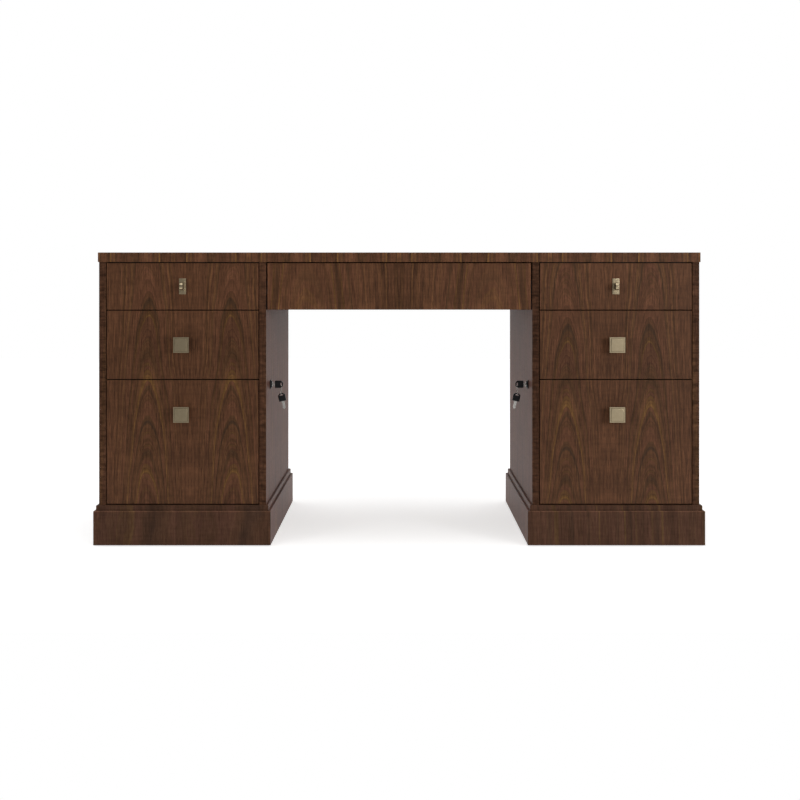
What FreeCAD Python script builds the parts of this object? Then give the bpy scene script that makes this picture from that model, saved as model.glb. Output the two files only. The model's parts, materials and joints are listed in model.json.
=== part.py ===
import FreeCAD, Part
import math
import os

# Double-pedestal executive desk: veneered boards, dovetailed drawers on steel runners, brass pulls and a
# lock in each pedestal that bolts its three drawers. Every piece is a solid of its own.
# Millimetres, +Z up, X along the desk, drawer fronts facing -Y. The origin lies on the floor under the
# middle of the desk's box. The right pedestal is modelled, and the left one is its mirror image.

Vector = FreeCAD.Vector

# Whole desk
HEIGHT = 762.0
CARCASS_DEPTH = 748.0
PEDESTAL_WIDTH = 435.0
KNEEHOLE_WIDTH = 693.0

# Boards
TOP_THICKNESS = 25.0
TOP_OVERHANG = 2.5
SIDE_THICKNESS = 18.0
BACK_THICKNESS = 12.0
FLOOR_THICKNESS = 18.0
APRON_THICKNESS = 19.0
RAIL_THICKNESS = 18.0
RAIL_WIDTH = 60.0
RAIL_SETBACK = 4.0
EDGE_ROUND = 0.8

# Screws from the rails into the top
TOP_SCREW_RADIUS = 2.0
TOP_SCREW_HEAD_RADIUS = 4.0
TOP_SCREW_BITE = 14.0
TOP_SCREW_INSET = 60.0

# Plinth, its moulding and the glides
PLINTH_HEIGHT = 88.5
PLINTH_THICKNESS = 12.5
PLINTH_EDGE_ROUND = 1.5
MOULDING_HEIGHT = 14.5
MOULDING_THICKNESS = 6.5
MOULDING_EDGE_ROUND = 2.5
GLIDE_HEIGHT = 2.0
GLIDE_RADIUS = 8.0
GLIDE_PIN_RADIUS = 1.5
GLIDE_PIN_LENGTH = 14.0
GLIDE_INSET = 45.0

# Drawer fronts
FRONT_THICKNESS = 19.0
FRONT_GAP = 2.5
FRONT_SIDE_GAP = 2.0
TOP_FRONT_HEIGHT = 121.5
MIDDLE_FRONT_HEIGHT = 178.0
CENTRE_SIDE_GAP = 3.5

# Drawer boxes
BOX_WALL = 12.0
BOX_BOTTOM_THICKNESS = 6.0
BOX_BOTTOM_RISE = 8.0
BOX_GROOVE_DEPTH = 6.0
BOX_GROOVE_PLAY = 0.2
BOX_LIFT = 12.0
BOX_HEADROOM = 26.0
BOX_RAIL_CLEARANCE = 9.0
BOX_BACK_SPACE = 50.0
FILE_BOX_HEADROOM = 36.0
CENTRE_BOX_LIFT = 20.0
CENTRE_BOX_LENGTH = 520.0
DOVETAIL_PITCH = 32.0
DOVETAIL_WIDTH = 20.0
DOVETAIL_FLARE = 1.7

# Rails for hanging files
FILE_RAIL_SPACING = 315.0
FILE_RAIL_THICKNESS = 3.0
FILE_RAIL_HEIGHT = 14.0
FILE_RAIL_SEAT = 8.0
FILE_RAIL_PLAY = 0.2

# Drawer runners
RUNNER_SPACE = 12.7
RUNNER_STEEL = 1.2
RUNNER_PLAY = 0.3
RUNNER_LIP_GAP = 1.0
FILE_RUNNER_HEIGHT = 45.0
BOX_RUNNER_HEIGHT = 35.0
RUNNER_FRONT_INSET = 4.0
RUNNER_BACK_INSET = 10.0

# Square knobs and their screws
KNOB_SIZE = 40.0
KNOB_FIELD_SIZE = 32.0
KNOB_FIELD_RISE = 1.5
KNOB_FIELD_BEVEL = 0.7
KNOB_HEAD_THICKNESS = 7.0
KNOB_BEVEL = 1.0
KNOB_STEM_RADIUS = 6.5
KNOB_FOOT_RADIUS = 9.0
KNOB_FOOT_THICKNESS = 3.0
KNOB_DROP = 88.5
PULL_PROJECTION = 30.0
PULL_SCREW_RADIUS = 2.0
PULL_SCREW_HEAD_RADIUS = 4.2
PULL_SCREW_HEAD_HEIGHT = 2.4
PULL_SCREW_BITE = 10.0
SCREW_PLAY = 0.2
THREAD_PLAY = 0.05

# Tab pulls on stepped plates
PLATE_WIDTH = 18.0
PLATE_HEIGHT = 41.0
PLATE_THICKNESS = 2.5
PLATE_FIELD_INSET = 2.75
PLATE_FIELD_RISE = 1.2
PLATE_BEVEL = 0.5
TAB_PULL_WIDTH = 8.6
TAB_PULL_HEIGHT = 19.0
TAB_PULL_NECK = 14.0
TAB_PULL_ROUND = 1.2

# Locks
LOCK_HEIGHT = 411.0
LOCK_SETBACK = 118.0
LOCK_ROSE_RADIUS = 12.0
LOCK_ROSE_THICKNESS = 2.5
LOCK_NOSE_RADIUS = 9.0
LOCK_NOSE_PROJECTION = 6.0
LOCK_BODY_RADIUS = 9.3
LOCK_BODY_PLAY = 0.1
LOCK_EDGE_ROUND = 1.0
PLUG_RADIUS = 5.5
PLUG_PLAY = 0.05
CAM_RADIUS = 8.5
CAM_THICKNESS = 2.0
CAM_PIN_RADIUS = 2.0
CAM_PIN_ORBIT = 6.0
CAM_REST_ANGLE = 45.0
CAM_PLAY = 0.3

# Lock bars and the lugs that they catch
BAR_WIDTH = 20.0
BAR_THICKNESS = 3.0
BAR_SETBACK = 1.0
BAR_PLAY = 0.3
BAR_SLOT_PLAY = 0.4
BAR_TAIL = 20.0
CATCH_HEIGHT = 10.0
CATCH_THICKNESS = 4.0
CATCH_BOX_GAP = 6.0
CATCH_CLEARANCE = 1.0
LUG_RADIUS = 3.0
LUG_DROP = 8.0
LUG_WALL_GAP = 3.5

# Keys
KEY_BLADE_THICKNESS = 2.2
KEY_BLADE_HEIGHT = 7.4
KEY_BLADE_LENGTH = 20.5
KEY_BLADE_SEAT = 5.0
KEY_TIP_SLOPE = 2.4
KEY_INSERTION = 14.0
KEYWAY_PLAY = 0.2
KEY_BOW_LENGTH = 22.0
KEY_BOW_HEIGHT = 19.5
KEY_BOW_THICKNESS = 4.6
KEY_BOW_CORNER = 4.0
KEY_BOW_ROUND = 1.5
KEY_SLOT_WIDTH = 3.6
KEY_SLOT_LENGTH = 9.0
KEY_SLOT_INSET = 3.2
KEY_RING_RADIUS = 12.3
KEY_RING_WIRE_RADIUS = 0.7
KEY_RING_PLAY = 0.48
SPARE_KEY_PLAY = 0.3
SPARE_KEY_TILT = 12.0

# Levels and planes worked out from the sizes above
Z_PLINTH_TOP = GLIDE_HEIGHT + PLINTH_HEIGHT
Z_FLOOR = Z_PLINTH_TOP + MOULDING_HEIGHT
Z_UNDER_TOP = HEIGHT - TOP_THICKNESS
Y_FRONT = -(CARCASS_DEPTH + PLINTH_THICKNESS - PULL_PROJECTION) / 2
Y_BACK = Y_FRONT + CARCASS_DEPTH
Y_BOX = Y_FRONT + FRONT_THICKNESS
Y_BOX_BACK = Y_BACK - BACK_THICKNESS - BOX_BACK_SPACE
Y_LOCK = Y_FRONT + LOCK_SETBACK
X_KNEE = KNEEHOLE_WIDTH / 2
X_NEAR = X_KNEE + SIDE_THICKNESS
X_OUTER = X_KNEE + PEDESTAL_WIDTH
X_FAR = X_OUTER - SIDE_THICKNESS
X_MIDDLE = (X_NEAR + X_FAR) / 2
GROOVE_DEPTH = CAM_THICKNESS + BAR_THICKNESS + 2 * CAM_PLAY + BAR_SETBACK
X_GROOVE = X_NEAR - GROOVE_DEPTH
X_CAM = X_GROOVE + CAM_PLAY
X_BAR = X_CAM + CAM_THICKNESS + CAM_PLAY
Z_CENTRE_FRONT = Z_UNDER_TOP - FRONT_GAP - TOP_FRONT_HEIGHT
TOLERANCE = 0.001


def board(x0, x1, y0, y1, z0, z1):
    """A rectangular block between two corners."""
    return Part.makeBox(x1 - x0, y1 - y0, z1 - z0, Vector(x0, y0, z0))


def rod(radius, start, end):
    """A round bar from one point to another."""
    return Part.makeCylinder(radius, (end - start).Length, start, end - start)


def prism(points, along):
    """The solid swept by a flat polygon."""
    return Part.Face(Part.makePolygon(points + points[:1])).extrude(along)


def edges_on(shape, axis, value):
    """Edges that lie in the plane where the coordinate named by axis has this value."""
    found = []
    for edge in shape.Edges:
        box = edge.BoundBox
        low = getattr(box, axis + "Min")
        high = getattr(box, axis + "Max")
        if abs(low - value) < TOLERANCE and abs(high - value) < TOLERANCE:
            found.append(edge)
    return found


def rounded(shape, radius, axis, value):
    """The shape with its edges in one plane rounded."""
    return shape.makeFillet(radius, edges_on(shape, axis, value))


def bevelled(shape, size, axis, value):
    """The shape with its edges in one plane bevelled."""
    return shape.makeChamfer(size, edges_on(shape, axis, value))


def mirrored(shapes):
    """The same pieces on the other side of the desk."""
    return [shape.mirror(Vector(0, 0, 0), Vector(1, 0, 0)) for shape in shapes]


def desk_top():
    """Top board with eased edges and blind holes for the rail screws."""
    x = X_OUTER + TOP_OVERHANG
    top = board(-x, x, Y_FRONT - TOP_OVERHANG, Y_BACK + TOP_OVERHANG, Z_UNDER_TOP, HEIGHT)
    top = rounded(rounded(top, EDGE_ROUND, "Z", HEIGHT), EDGE_ROUND, "Z", Z_UNDER_TOP)
    for x_screw, y_screw in top_screw_places():
        for side in (-1, 1):
            start = Vector(side * x_screw, y_screw, Z_UNDER_TOP)
            top = top.cut(rod(TOP_SCREW_RADIUS + THREAD_PLAY, start, start + Vector(0, 0, TOP_SCREW_BITE)))
    return [top]


def rail_fronts():
    """Front faces of a pedestal's front and back top rails."""
    return [Y_BOX + RAIL_SETBACK, Y_BACK - BACK_THICKNESS - RAIL_WIDTH]


def top_screw_places():
    """Plan positions of the screws in the right pedestal's rails."""
    places = []
    for y in rail_fronts():
        for x in (X_NEAR + TOP_SCREW_INSET, X_FAR - TOP_SCREW_INSET):
            places.append((x, y + RAIL_WIDTH / 2))
    return places


def top_screw(x, y, radius_play, head_play):
    """Countersunk screw with its head flush in the rail's underside."""
    foot = Vector(x, y, Z_UNDER_TOP - RAIL_THICKNESS)
    tip = Vector(x, y, Z_UNDER_TOP + TOP_SCREW_BITE)
    shank = rod(TOP_SCREW_RADIUS + radius_play, foot, tip)
    head_height = TOP_SCREW_HEAD_RADIUS - TOP_SCREW_RADIUS
    head_radius = TOP_SCREW_HEAD_RADIUS + head_play
    head = Part.makeCone(head_radius, TOP_SCREW_RADIUS + head_play, head_height, foot, Vector(0, 0, 1))
    return shank.fuse(head).removeSplitter()


def top_rails():
    """Right pedestal's front and back rails, drilled for the screws."""
    rails = []
    for y in rail_fronts():
        rail = board(X_NEAR, X_FAR, y, y + RAIL_WIDTH, Z_UNDER_TOP - RAIL_THICKNESS, Z_UNDER_TOP)
        for x_screw, y_screw in top_screw_places():
            rail = rail.cut(top_screw(x_screw, y_screw, SCREW_PLAY, SCREW_PLAY))
        rails.append(rail)
    return rails


def top_screws():
    """Right pedestal's screws."""
    return [top_screw(x, y, 0, 0) for x, y in top_screw_places()]


def glide_places(x):
    """Plan positions of the two glides under a side board whose middle is at x."""
    return [Vector(x, Y_FRONT + GLIDE_INSET, 0), Vector(x, Y_BACK - GLIDE_INSET, 0)]


def glide(place):
    """Nail-on floor glide: a disc with a pin."""
    seat = place + Vector(0, 0, GLIDE_HEIGHT)
    pin = rod(GLIDE_PIN_RADIUS, seat, seat + Vector(0, 0, GLIDE_PIN_LENGTH))
    return rod(GLIDE_RADIUS, place, seat).fuse(pin)


def side_board(x0, x1):
    """Pedestal side with an eased front edge and holes for the glide pins."""
    side = board(x0, x1, Y_FRONT, Y_BACK, GLIDE_HEIGHT, Z_UNDER_TOP)
    side = rounded(side, EDGE_ROUND, "Y", Y_FRONT)
    for place in glide_places((x0 + x1) / 2):
        seat = place + Vector(0, 0, GLIDE_HEIGHT)
        hole = rod(GLIDE_PIN_RADIUS + THREAD_PLAY, seat, seat + Vector(0, 0, GLIDE_PIN_LENGTH))
        side = side.cut(hole)
    return side


def floor_glides():
    """Right pedestal's four glides."""
    places = glide_places((X_KNEE + X_NEAR) / 2) + glide_places((X_FAR + X_OUTER) / 2)
    return [glide(place) for place in places]


def inner_side():
    """Kneehole side: bored for the lock and grooved inside for the lock bar."""
    side = side_board(X_KNEE, X_NEAR)
    half = BAR_WIDTH / 2 + BAR_PLAY
    low, high = bar_span()
    groove = board(X_GROOVE, X_NEAR, Y_LOCK - half, Y_LOCK + half,
                   low - BAR_PLAY, high + bar_travel() + BAR_PLAY)
    bore = rod(LOCK_BODY_RADIUS + LOCK_BODY_PLAY, Vector(X_KNEE, Y_LOCK, LOCK_HEIGHT),
               Vector(X_GROOVE, Y_LOCK, LOCK_HEIGHT))
    return [side.cut(groove).cut(bore)]


def outer_side():
    """Outer side board."""
    return [side_board(X_FAR, X_OUTER)]


def back_panel():
    """Pedestal back, set flush between the sides."""
    return [board(X_NEAR, X_FAR, Y_BACK - BACK_THICKNESS, Y_BACK, Z_FLOOR, Z_UNDER_TOP)]


def bottom_panel():
    """Pedestal floor, level with the top of the moulding."""
    return [board(X_NEAR, X_FAR, Y_FRONT, Y_BACK, Z_FLOOR - FLOOR_THICKNESS, Z_FLOOR)]


def rear_apron():
    """Board across the back of the kneehole, as deep as the centre drawer's front."""
    return [board(-X_KNEE, X_KNEE, Y_BACK - APRON_THICKNESS, Y_BACK, Z_CENTRE_FRONT, Z_UNDER_TOP)]


def mitred_frame(thickness, z0, z1, edge_round):
    """Four mitred boards round the right pedestal, their top outer edges rounded."""
    x0, x1, y0, y1 = X_KNEE, X_OUTER, Y_FRONT, Y_BACK
    outer = board(x0 - thickness, x1 + thickness, y0 - thickness, y1 + thickness, z0, z1)
    ring = rounded(outer, edge_round, "Z", z1).cut(board(x0, x1, y0, y1, z0, z1))
    inside = [Vector(x0, y0, z0), Vector(x1, y0, z0), Vector(x1, y1, z0), Vector(x0, y1, z0)]
    corners = [Vector(x0 - thickness, y0 - thickness, z0), Vector(x1 + thickness, y0 - thickness, z0),
               Vector(x1 + thickness, y1 + thickness, z0), Vector(x0 - thickness, y1 + thickness, z0)]
    boards = []
    for i in range(len(corners)):
        j = (i + 1) % len(corners)
        wedge = prism([corners[i], corners[j], inside[j], inside[i]], Vector(0, 0, z1 - z0))
        boards.append(ring.common(wedge))
    return boards


def plinth():
    """Right pedestal's plinth boards."""
    return mitred_frame(PLINTH_THICKNESS, GLIDE_HEIGHT, Z_PLINTH_TOP, PLINTH_EDGE_ROUND)


def plinth_moulding():
    """Strips that stand on the plinth, a step further in."""
    return mitred_frame(MOULDING_THICKNESS, Z_PLINTH_TOP, Z_FLOOR, MOULDING_EDGE_ROUND)


# Right pedestal's fronts, from the top down: name to lower and upper level
TOP_SPAN = (Z_CENTRE_FRONT, Z_UNDER_TOP - FRONT_GAP)
MIDDLE_SPAN = (TOP_SPAN[0] - FRONT_GAP - MIDDLE_FRONT_HEIGHT, TOP_SPAN[0] - FRONT_GAP)
FILE_SPAN = (Z_FLOOR + FRONT_GAP, MIDDLE_SPAN[0] - FRONT_GAP)
FRONT_SPANS = {"top": TOP_SPAN, "middle": MIDDLE_SPAN, "file": FILE_SPAN}
BOX_SPANS = {
    "top": (TOP_SPAN[0] + BOX_LIFT, Z_UNDER_TOP - RAIL_THICKNESS - BOX_RAIL_CLEARANCE),
    "middle": (MIDDLE_SPAN[0] + BOX_LIFT, MIDDLE_SPAN[1] - BOX_HEADROOM),
    "file": (FILE_SPAN[0] + BOX_LIFT, FILE_SPAN[1] - FILE_BOX_HEADROOM),
}
CENTRE_BOX_SPAN = (Z_CENTRE_FRONT + CENTRE_BOX_LIFT, BOX_SPANS["top"][1])
PULL_LEVELS = {
    "top": sum(TOP_SPAN) / 2,
    "middle": MIDDLE_SPAN[1] - KNOB_DROP,
    "file": FILE_SPAN[1] - KNOB_DROP,
}
RUNNER_HEIGHTS = {"top": BOX_RUNNER_HEIGHT, "middle": BOX_RUNNER_HEIGHT, "file": FILE_RUNNER_HEIGHT}


def pull_hole(drawer):
    """Clearance hole for the pull's screw through the front and the box's inner front."""
    z = PULL_LEVELS[drawer]
    start = Vector(X_MIDDLE, Y_FRONT, z)
    return rod(PULL_SCREW_RADIUS + SCREW_PLAY, start, start + Vector(0, FRONT_THICKNESS + BOX_WALL, 0))


def drawer_front(drawer):
    """Flush front with eased edges."""
    z0, z1 = FRONT_SPANS[drawer]
    front = board(X_NEAR + FRONT_SIDE_GAP, X_FAR - FRONT_SIDE_GAP, Y_FRONT, Y_BOX, z0, z1)
    return [rounded(front, EDGE_ROUND, "Y", Y_FRONT).cut(pull_hole(drawer))]


def centre_front():
    """Wide front of the centre drawer, opened by its lower edge."""
    x = X_KNEE - CENTRE_SIDE_GAP
    front = board(-x, x, Y_FRONT, Y_BOX, *TOP_SPAN)
    return [rounded(front, EDGE_ROUND, "Y", Y_FRONT)]


def dovetails(x, y_end, y_shoulder, z0, z1):
    """Tails of one box side at one end, wider at the end than at the shoulder."""
    count = max(2, int((z1 - z0) // DOVETAIL_PITCH))
    pitch = (z1 - z0) / count
    wide = DOVETAIL_WIDTH / 2
    narrow = wide - DOVETAIL_FLARE
    tails = []
    for i in range(count):
        z = z0 + pitch * (i + 0.5)
        outline = [Vector(x, y_end, z - wide), Vector(x, y_end, z + wide),
                   Vector(x, y_shoulder, z + narrow), Vector(x, y_shoulder, z - narrow)]
        tails.append(prism(outline, Vector(BOX_WALL, 0, 0)))
    return tails


def drawer_box(x0, x1, y1, z0, z1, cuts):
    """Two sides, inner front, back and bottom, dovetailed at the corners, with cuts taken from the walls."""
    y0 = Y_BOX
    groove = BOX_WALL - BOX_GROOVE_DEPTH
    low = z0 + BOX_BOTTOM_RISE
    high = low + BOX_BOTTOM_THICKNESS
    play = BOX_GROOVE_PLAY
    bottom = board(x0 + groove + play, x1 - groove - play,
                   y0 + groove + play, y1 - groove - play, low, high)
    pocket = board(x0 + groove, x1 - groove, y0 + groove, y1 - groove, low - play, high + play)
    ends = [board(x0, x1, y0, y0 + BOX_WALL, z0, z1), board(x0, x1, y1 - BOX_WALL, y1, z0, z1)]
    sides = []
    for x in (x0, x1 - BOX_WALL):
        front_tails = dovetails(x, y0, y0 + BOX_WALL, z0, z1)
        back_tails = dovetails(x, y1, y1 - BOX_WALL, z0, z1)
        core = board(x, x + BOX_WALL, y0 + BOX_WALL, y1 - BOX_WALL, z0, z1)
        sides.append(core.fuse(front_tails + back_tails).removeSplitter())
        ends[0] = ends[0].cut(front_tails)
        ends[1] = ends[1].cut(back_tails)
    walls = [wall.cut([pocket] + cuts) for wall in sides + ends]
    return walls + [bottom]


def pedestal_box(drawer):
    """Box of one of the right pedestal's drawers."""
    z0, z1 = BOX_SPANS[drawer]
    cuts = [pull_hole(drawer)]
    if drawer == "file":
        cuts += [file_rail(side, FILE_RAIL_PLAY) for side in (-1, 1)]
    return drawer_box(X_NEAR + RUNNER_SPACE, X_FAR - RUNNER_SPACE, Y_BOX_BACK, z0, z1, cuts)


def centre_box():
    """Shallow box of the centre drawer."""
    x = X_KNEE - RUNNER_SPACE
    return drawer_box(-x, x, Y_BOX + CENTRE_BOX_LENGTH, *CENTRE_BOX_SPAN, [])


def file_rail(side, play):
    """Flat bar along the file drawer, seated in the inner front and the back."""
    x = X_MIDDLE + side * FILE_RAIL_SPACING / 2
    half = FILE_RAIL_THICKNESS / 2 + play
    y_inset = BOX_WALL / 2 - play
    z = BOX_SPANS["file"][1] - FILE_RAIL_SEAT
    return board(x - half, x + half, Y_BOX + y_inset, Y_BOX_BACK - y_inset, z, z + FILE_RAIL_HEIGHT)


def file_rails():
    """Two bars that hanging files hook over."""
    return [file_rail(side, 0) for side in (-1, 1)]


def channel(x_web, x_lip, z, height, y0, y1):
    """Steel channel with its web at one face and its lips reaching to the other."""
    inward = math.copysign(RUNNER_STEEL, x_lip - x_web)
    half = height / 2
    block = board(min(x_web, x_lip), max(x_web, x_lip), y0, y1, z - half, z + half)
    x_hollow = sorted((x_web + inward, x_lip))
    hollow = board(x_hollow[0], x_hollow[1], y0, y1, z - half + RUNNER_STEEL, z + half - RUNNER_STEEL)
    return block.cut(hollow)


def nested_height(height):
    """Height of the runner member that runs inside one of this height."""
    return height - 2 * (RUNNER_STEEL + RUNNER_PLAY)


def runner_level(span):
    """Middle of the runner's height: the middle of the box."""
    return sum(span) / 2


def cabinet_member(x_wall, inward, z, height, y_back):
    """Runner member fixed to a side board; inward is the direction from the board to the drawer."""
    x_lip = x_wall + inward * (RUNNER_SPACE - RUNNER_STEEL - RUNNER_LIP_GAP)
    return channel(x_wall, x_lip, z, height, Y_BOX + RUNNER_FRONT_INSET, y_back - RUNNER_BACK_INSET)


def drawer_member(x_wall, inward, z, height, y_back, x_lip_inset):
    """Runner member fixed to the drawer's side."""
    x_web = x_wall + inward * RUNNER_SPACE
    x_lip = x_wall + inward * x_lip_inset
    return channel(x_web, x_lip, z, height, Y_BOX + RUNNER_FRONT_INSET, y_back - RUNNER_BACK_INSET)


def middle_member(x_wall, inward, z, height):
    """Member of a full-extension runner between the fixed one and the drawer's: channels back to back."""
    x_mid = x_wall + inward * RUNNER_SPACE / 2
    reach = RUNNER_SPACE / 2 - RUNNER_STEEL - RUNNER_LIP_GAP
    y0 = Y_BOX + RUNNER_FRONT_INSET
    y1 = Y_BOX_BACK - RUNNER_BACK_INSET
    halves = []
    for side in (-1, 1):
        halves.append(channel(x_mid - side * RUNNER_STEEL / 2, x_mid + side * reach, z, height, y0, y1))
    return halves[0].fuse(halves[1]).removeSplitter()


RUNNER_WALLS = ((X_NEAR, 1), (X_FAR, -1))


def cabinet_runners():
    """Fixed members in the right pedestal and on its kneehole side."""
    members = []
    for drawer, span in BOX_SPANS.items():
        z = runner_level(span)
        for x_wall, inward in RUNNER_WALLS:
            members.append(cabinet_member(x_wall, inward, z, RUNNER_HEIGHTS[drawer], Y_BOX_BACK))
    z = runner_level(CENTRE_BOX_SPAN)
    members.append(cabinet_member(X_KNEE, -1, z, BOX_RUNNER_HEIGHT, Y_BOX + CENTRE_BOX_LENGTH))
    return members


def drawer_runners(drawer):
    """Members on a drawer's two sides, and the lug that the lock bar catches."""
    span = BOX_SPANS[drawer]
    height = nested_height(RUNNER_HEIGHTS[drawer])
    x_lip_inset = RUNNER_STEEL + RUNNER_LIP_GAP
    if drawer == "file":
        height = nested_height(height)
        x_lip_inset = RUNNER_SPACE / 2 + RUNNER_STEEL
    members = []
    for x_wall, inward in RUNNER_WALLS:
        members.append(drawer_member(x_wall, inward, runner_level(span), height, Y_BOX_BACK, x_lip_inset))
    lug_y = Y_LOCK + CATCH_THICKNESS / 2 + CATCH_CLEARANCE + LUG_RADIUS
    lug_z = span[1] - LUG_DROP
    lug = rod(LUG_RADIUS, Vector(X_NEAR + LUG_WALL_GAP, lug_y, lug_z),
              Vector(X_NEAR + RUNNER_SPACE, lug_y, lug_z))
    return members + [lug]


def centre_runners():
    """Members on the centre drawer's sides."""
    z = runner_level(CENTRE_BOX_SPAN)
    height = nested_height(BOX_RUNNER_HEIGHT)
    x_lip_inset = RUNNER_STEEL + RUNNER_LIP_GAP
    member = drawer_member(X_KNEE, -1, z, height, Y_BOX + CENTRE_BOX_LENGTH, x_lip_inset)
    return [member] + mirrored([member])


def file_middle_runners():
    """Intermediate members of the file drawer's full-extension runners."""
    z = runner_level(BOX_SPANS["file"])
    height = nested_height(FILE_RUNNER_HEIGHT)
    return [middle_member(x_wall, inward, z, height) for x_wall, inward in RUNNER_WALLS]


def pull_screw(z):
    """Machine screw from inside the drawer into the pull."""
    y_seat = Y_BOX + BOX_WALL
    seat = Vector(X_MIDDLE, y_seat, z)
    shank = rod(PULL_SCREW_RADIUS, Vector(X_MIDDLE, Y_FRONT - PULL_SCREW_BITE, z), seat)
    head = rod(PULL_SCREW_HEAD_RADIUS, seat, seat + Vector(0, PULL_SCREW_HEAD_HEIGHT, 0))
    return shank.fuse(head)


def pull_thread(z):
    """Hole in a pull for its screw."""
    face = Vector(X_MIDDLE, Y_FRONT, z)
    return rod(PULL_SCREW_RADIUS + THREAD_PLAY, face - Vector(0, PULL_SCREW_BITE, 0), face)


def square_block(x, z, width, height, y_front, y_back, bevel):
    """Rectangular plate seen from the front, its front edges bevelled."""
    block = board(x - width / 2, x + width / 2, y_front, y_back, z - height / 2, z + height / 2)
    return bevelled(block, bevel, "Y", y_front)


def square_knob(drawer):
    """Square stepped knob on a round stem and foot, with its screw."""
    z = PULL_LEVELS[drawer]
    face = Vector(X_MIDDLE, Y_FRONT, z)
    y_field = Y_FRONT - PULL_PROJECTION
    y_head = y_field + KNOB_FIELD_RISE
    y_head_back = y_head + KNOB_HEAD_THICKNESS
    foot = rod(KNOB_FOOT_RADIUS, face - Vector(0, KNOB_FOOT_THICKNESS, 0), face)
    stem = rod(KNOB_STEM_RADIUS, Vector(X_MIDDLE, y_head_back, z), face)
    head = square_block(X_MIDDLE, z, KNOB_SIZE, KNOB_SIZE, y_head, y_head_back, KNOB_BEVEL)
    field = square_block(X_MIDDLE, z, KNOB_FIELD_SIZE, KNOB_FIELD_SIZE, y_field, y_head, KNOB_FIELD_BEVEL)
    knob = head.fuse([field, stem, foot]).removeSplitter().cut(pull_thread(z))
    return [knob, pull_screw(z)]


def tab_pull():
    """Finger tab with a half-round nose on a stepped plate, with its screw."""
    z = PULL_LEVELS["top"]
    y_plate = Y_FRONT - PLATE_THICKNESS
    y_field = y_plate - PLATE_FIELD_RISE
    inset = 2 * PLATE_FIELD_INSET
    plate = square_block(X_MIDDLE, z, PLATE_WIDTH, PLATE_HEIGHT, y_plate, Y_FRONT, PLATE_BEVEL)
    field = square_block(X_MIDDLE, z, PLATE_WIDTH - inset, PLATE_HEIGHT - inset,
                         y_field, y_plate, PLATE_BEVEL)
    plate = plate.fuse(field).removeSplitter().cut(pull_thread(z))
    x = X_MIDDLE - TAB_PULL_WIDTH / 2
    nose = TAB_PULL_HEIGHT / 2
    y_tip = Y_FRONT - PULL_PROJECTION
    root = [Vector(x, y_field, z + side * TAB_PULL_NECK / 2) for side in (-1, 1)]
    shoulder = [Vector(x, y_tip + nose, z + side * nose) for side in (-1, 1)]
    outline = Part.Wire([
        Part.LineSegment(root[1], root[0]).toShape(),
        Part.LineSegment(root[0], shoulder[0]).toShape(),
        Part.Arc(shoulder[0], Vector(x, y_tip, z), shoulder[1]).toShape(),
        Part.LineSegment(shoulder[1], root[1]).toShape(),
    ])
    tab = Part.Face(outline).extrude(Vector(TAB_PULL_WIDTH, 0, 0))
    for x_face in (x, x + TAB_PULL_WIDTH):
        rim = [edge for edge in edges_on(tab, "X", x_face) if edge.BoundBox.YLength > TOLERANCE]
        tab = tab.makeFillet(TAB_PULL_ROUND, rim)
    return [plate, tab.cut(pull_thread(z)), pull_screw(z)]


def bar_travel():
    """Rise of the lock bar over a quarter turn of the cam."""
    return 2 * CAM_PIN_ORBIT * math.sin(math.radians(CAM_REST_ANGLE))


def catch_bottoms():
    """Lower ends of the bar's catches at rest, each catch just below its drawer's lug."""
    reach = LUG_DROP + LUG_RADIUS + CATCH_CLEARANCE + CATCH_HEIGHT
    return [span[1] - reach for span in BOX_SPANS.values()]


def bar_span():
    """Lower and upper end of the lock bar at rest: it reaches past the cam and holds every catch."""
    bottoms = catch_bottoms()
    low = min(bottoms + [LOCK_HEIGHT - CAM_RADIUS]) - BAR_TAIL
    high = max(bottoms + [LOCK_HEIGHT + CAM_RADIUS]) + CATCH_HEIGHT
    return low, high


def lock_housing():
    """Rose, nose and body of the lock, bored for the plug."""
    x_rose = X_KNEE - LOCK_ROSE_THICKNESS
    x_nose = X_KNEE - LOCK_NOSE_PROJECTION
    centre = Vector(0, Y_LOCK, LOCK_HEIGHT)
    rose = rod(LOCK_ROSE_RADIUS, centre + Vector(x_rose, 0, 0), centre + Vector(X_KNEE, 0, 0))
    nose = rod(LOCK_NOSE_RADIUS, centre + Vector(x_nose, 0, 0), centre + Vector(X_KNEE, 0, 0))
    body = rod(LOCK_BODY_RADIUS, centre + Vector(X_KNEE, 0, 0), centre + Vector(X_GROOVE, 0, 0))
    rose = rounded(rose, LOCK_EDGE_ROUND, "X", x_rose)
    nose = rounded(nose, LOCK_EDGE_ROUND, "X", x_nose)
    housing = rose.fuse([nose, body])
    bore = rod(PLUG_RADIUS + PLUG_PLAY, centre + Vector(x_nose, 0, 0), centre + Vector(X_GROOVE, 0, 0))
    return [housing.removeSplitter().cut(bore)]


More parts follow.
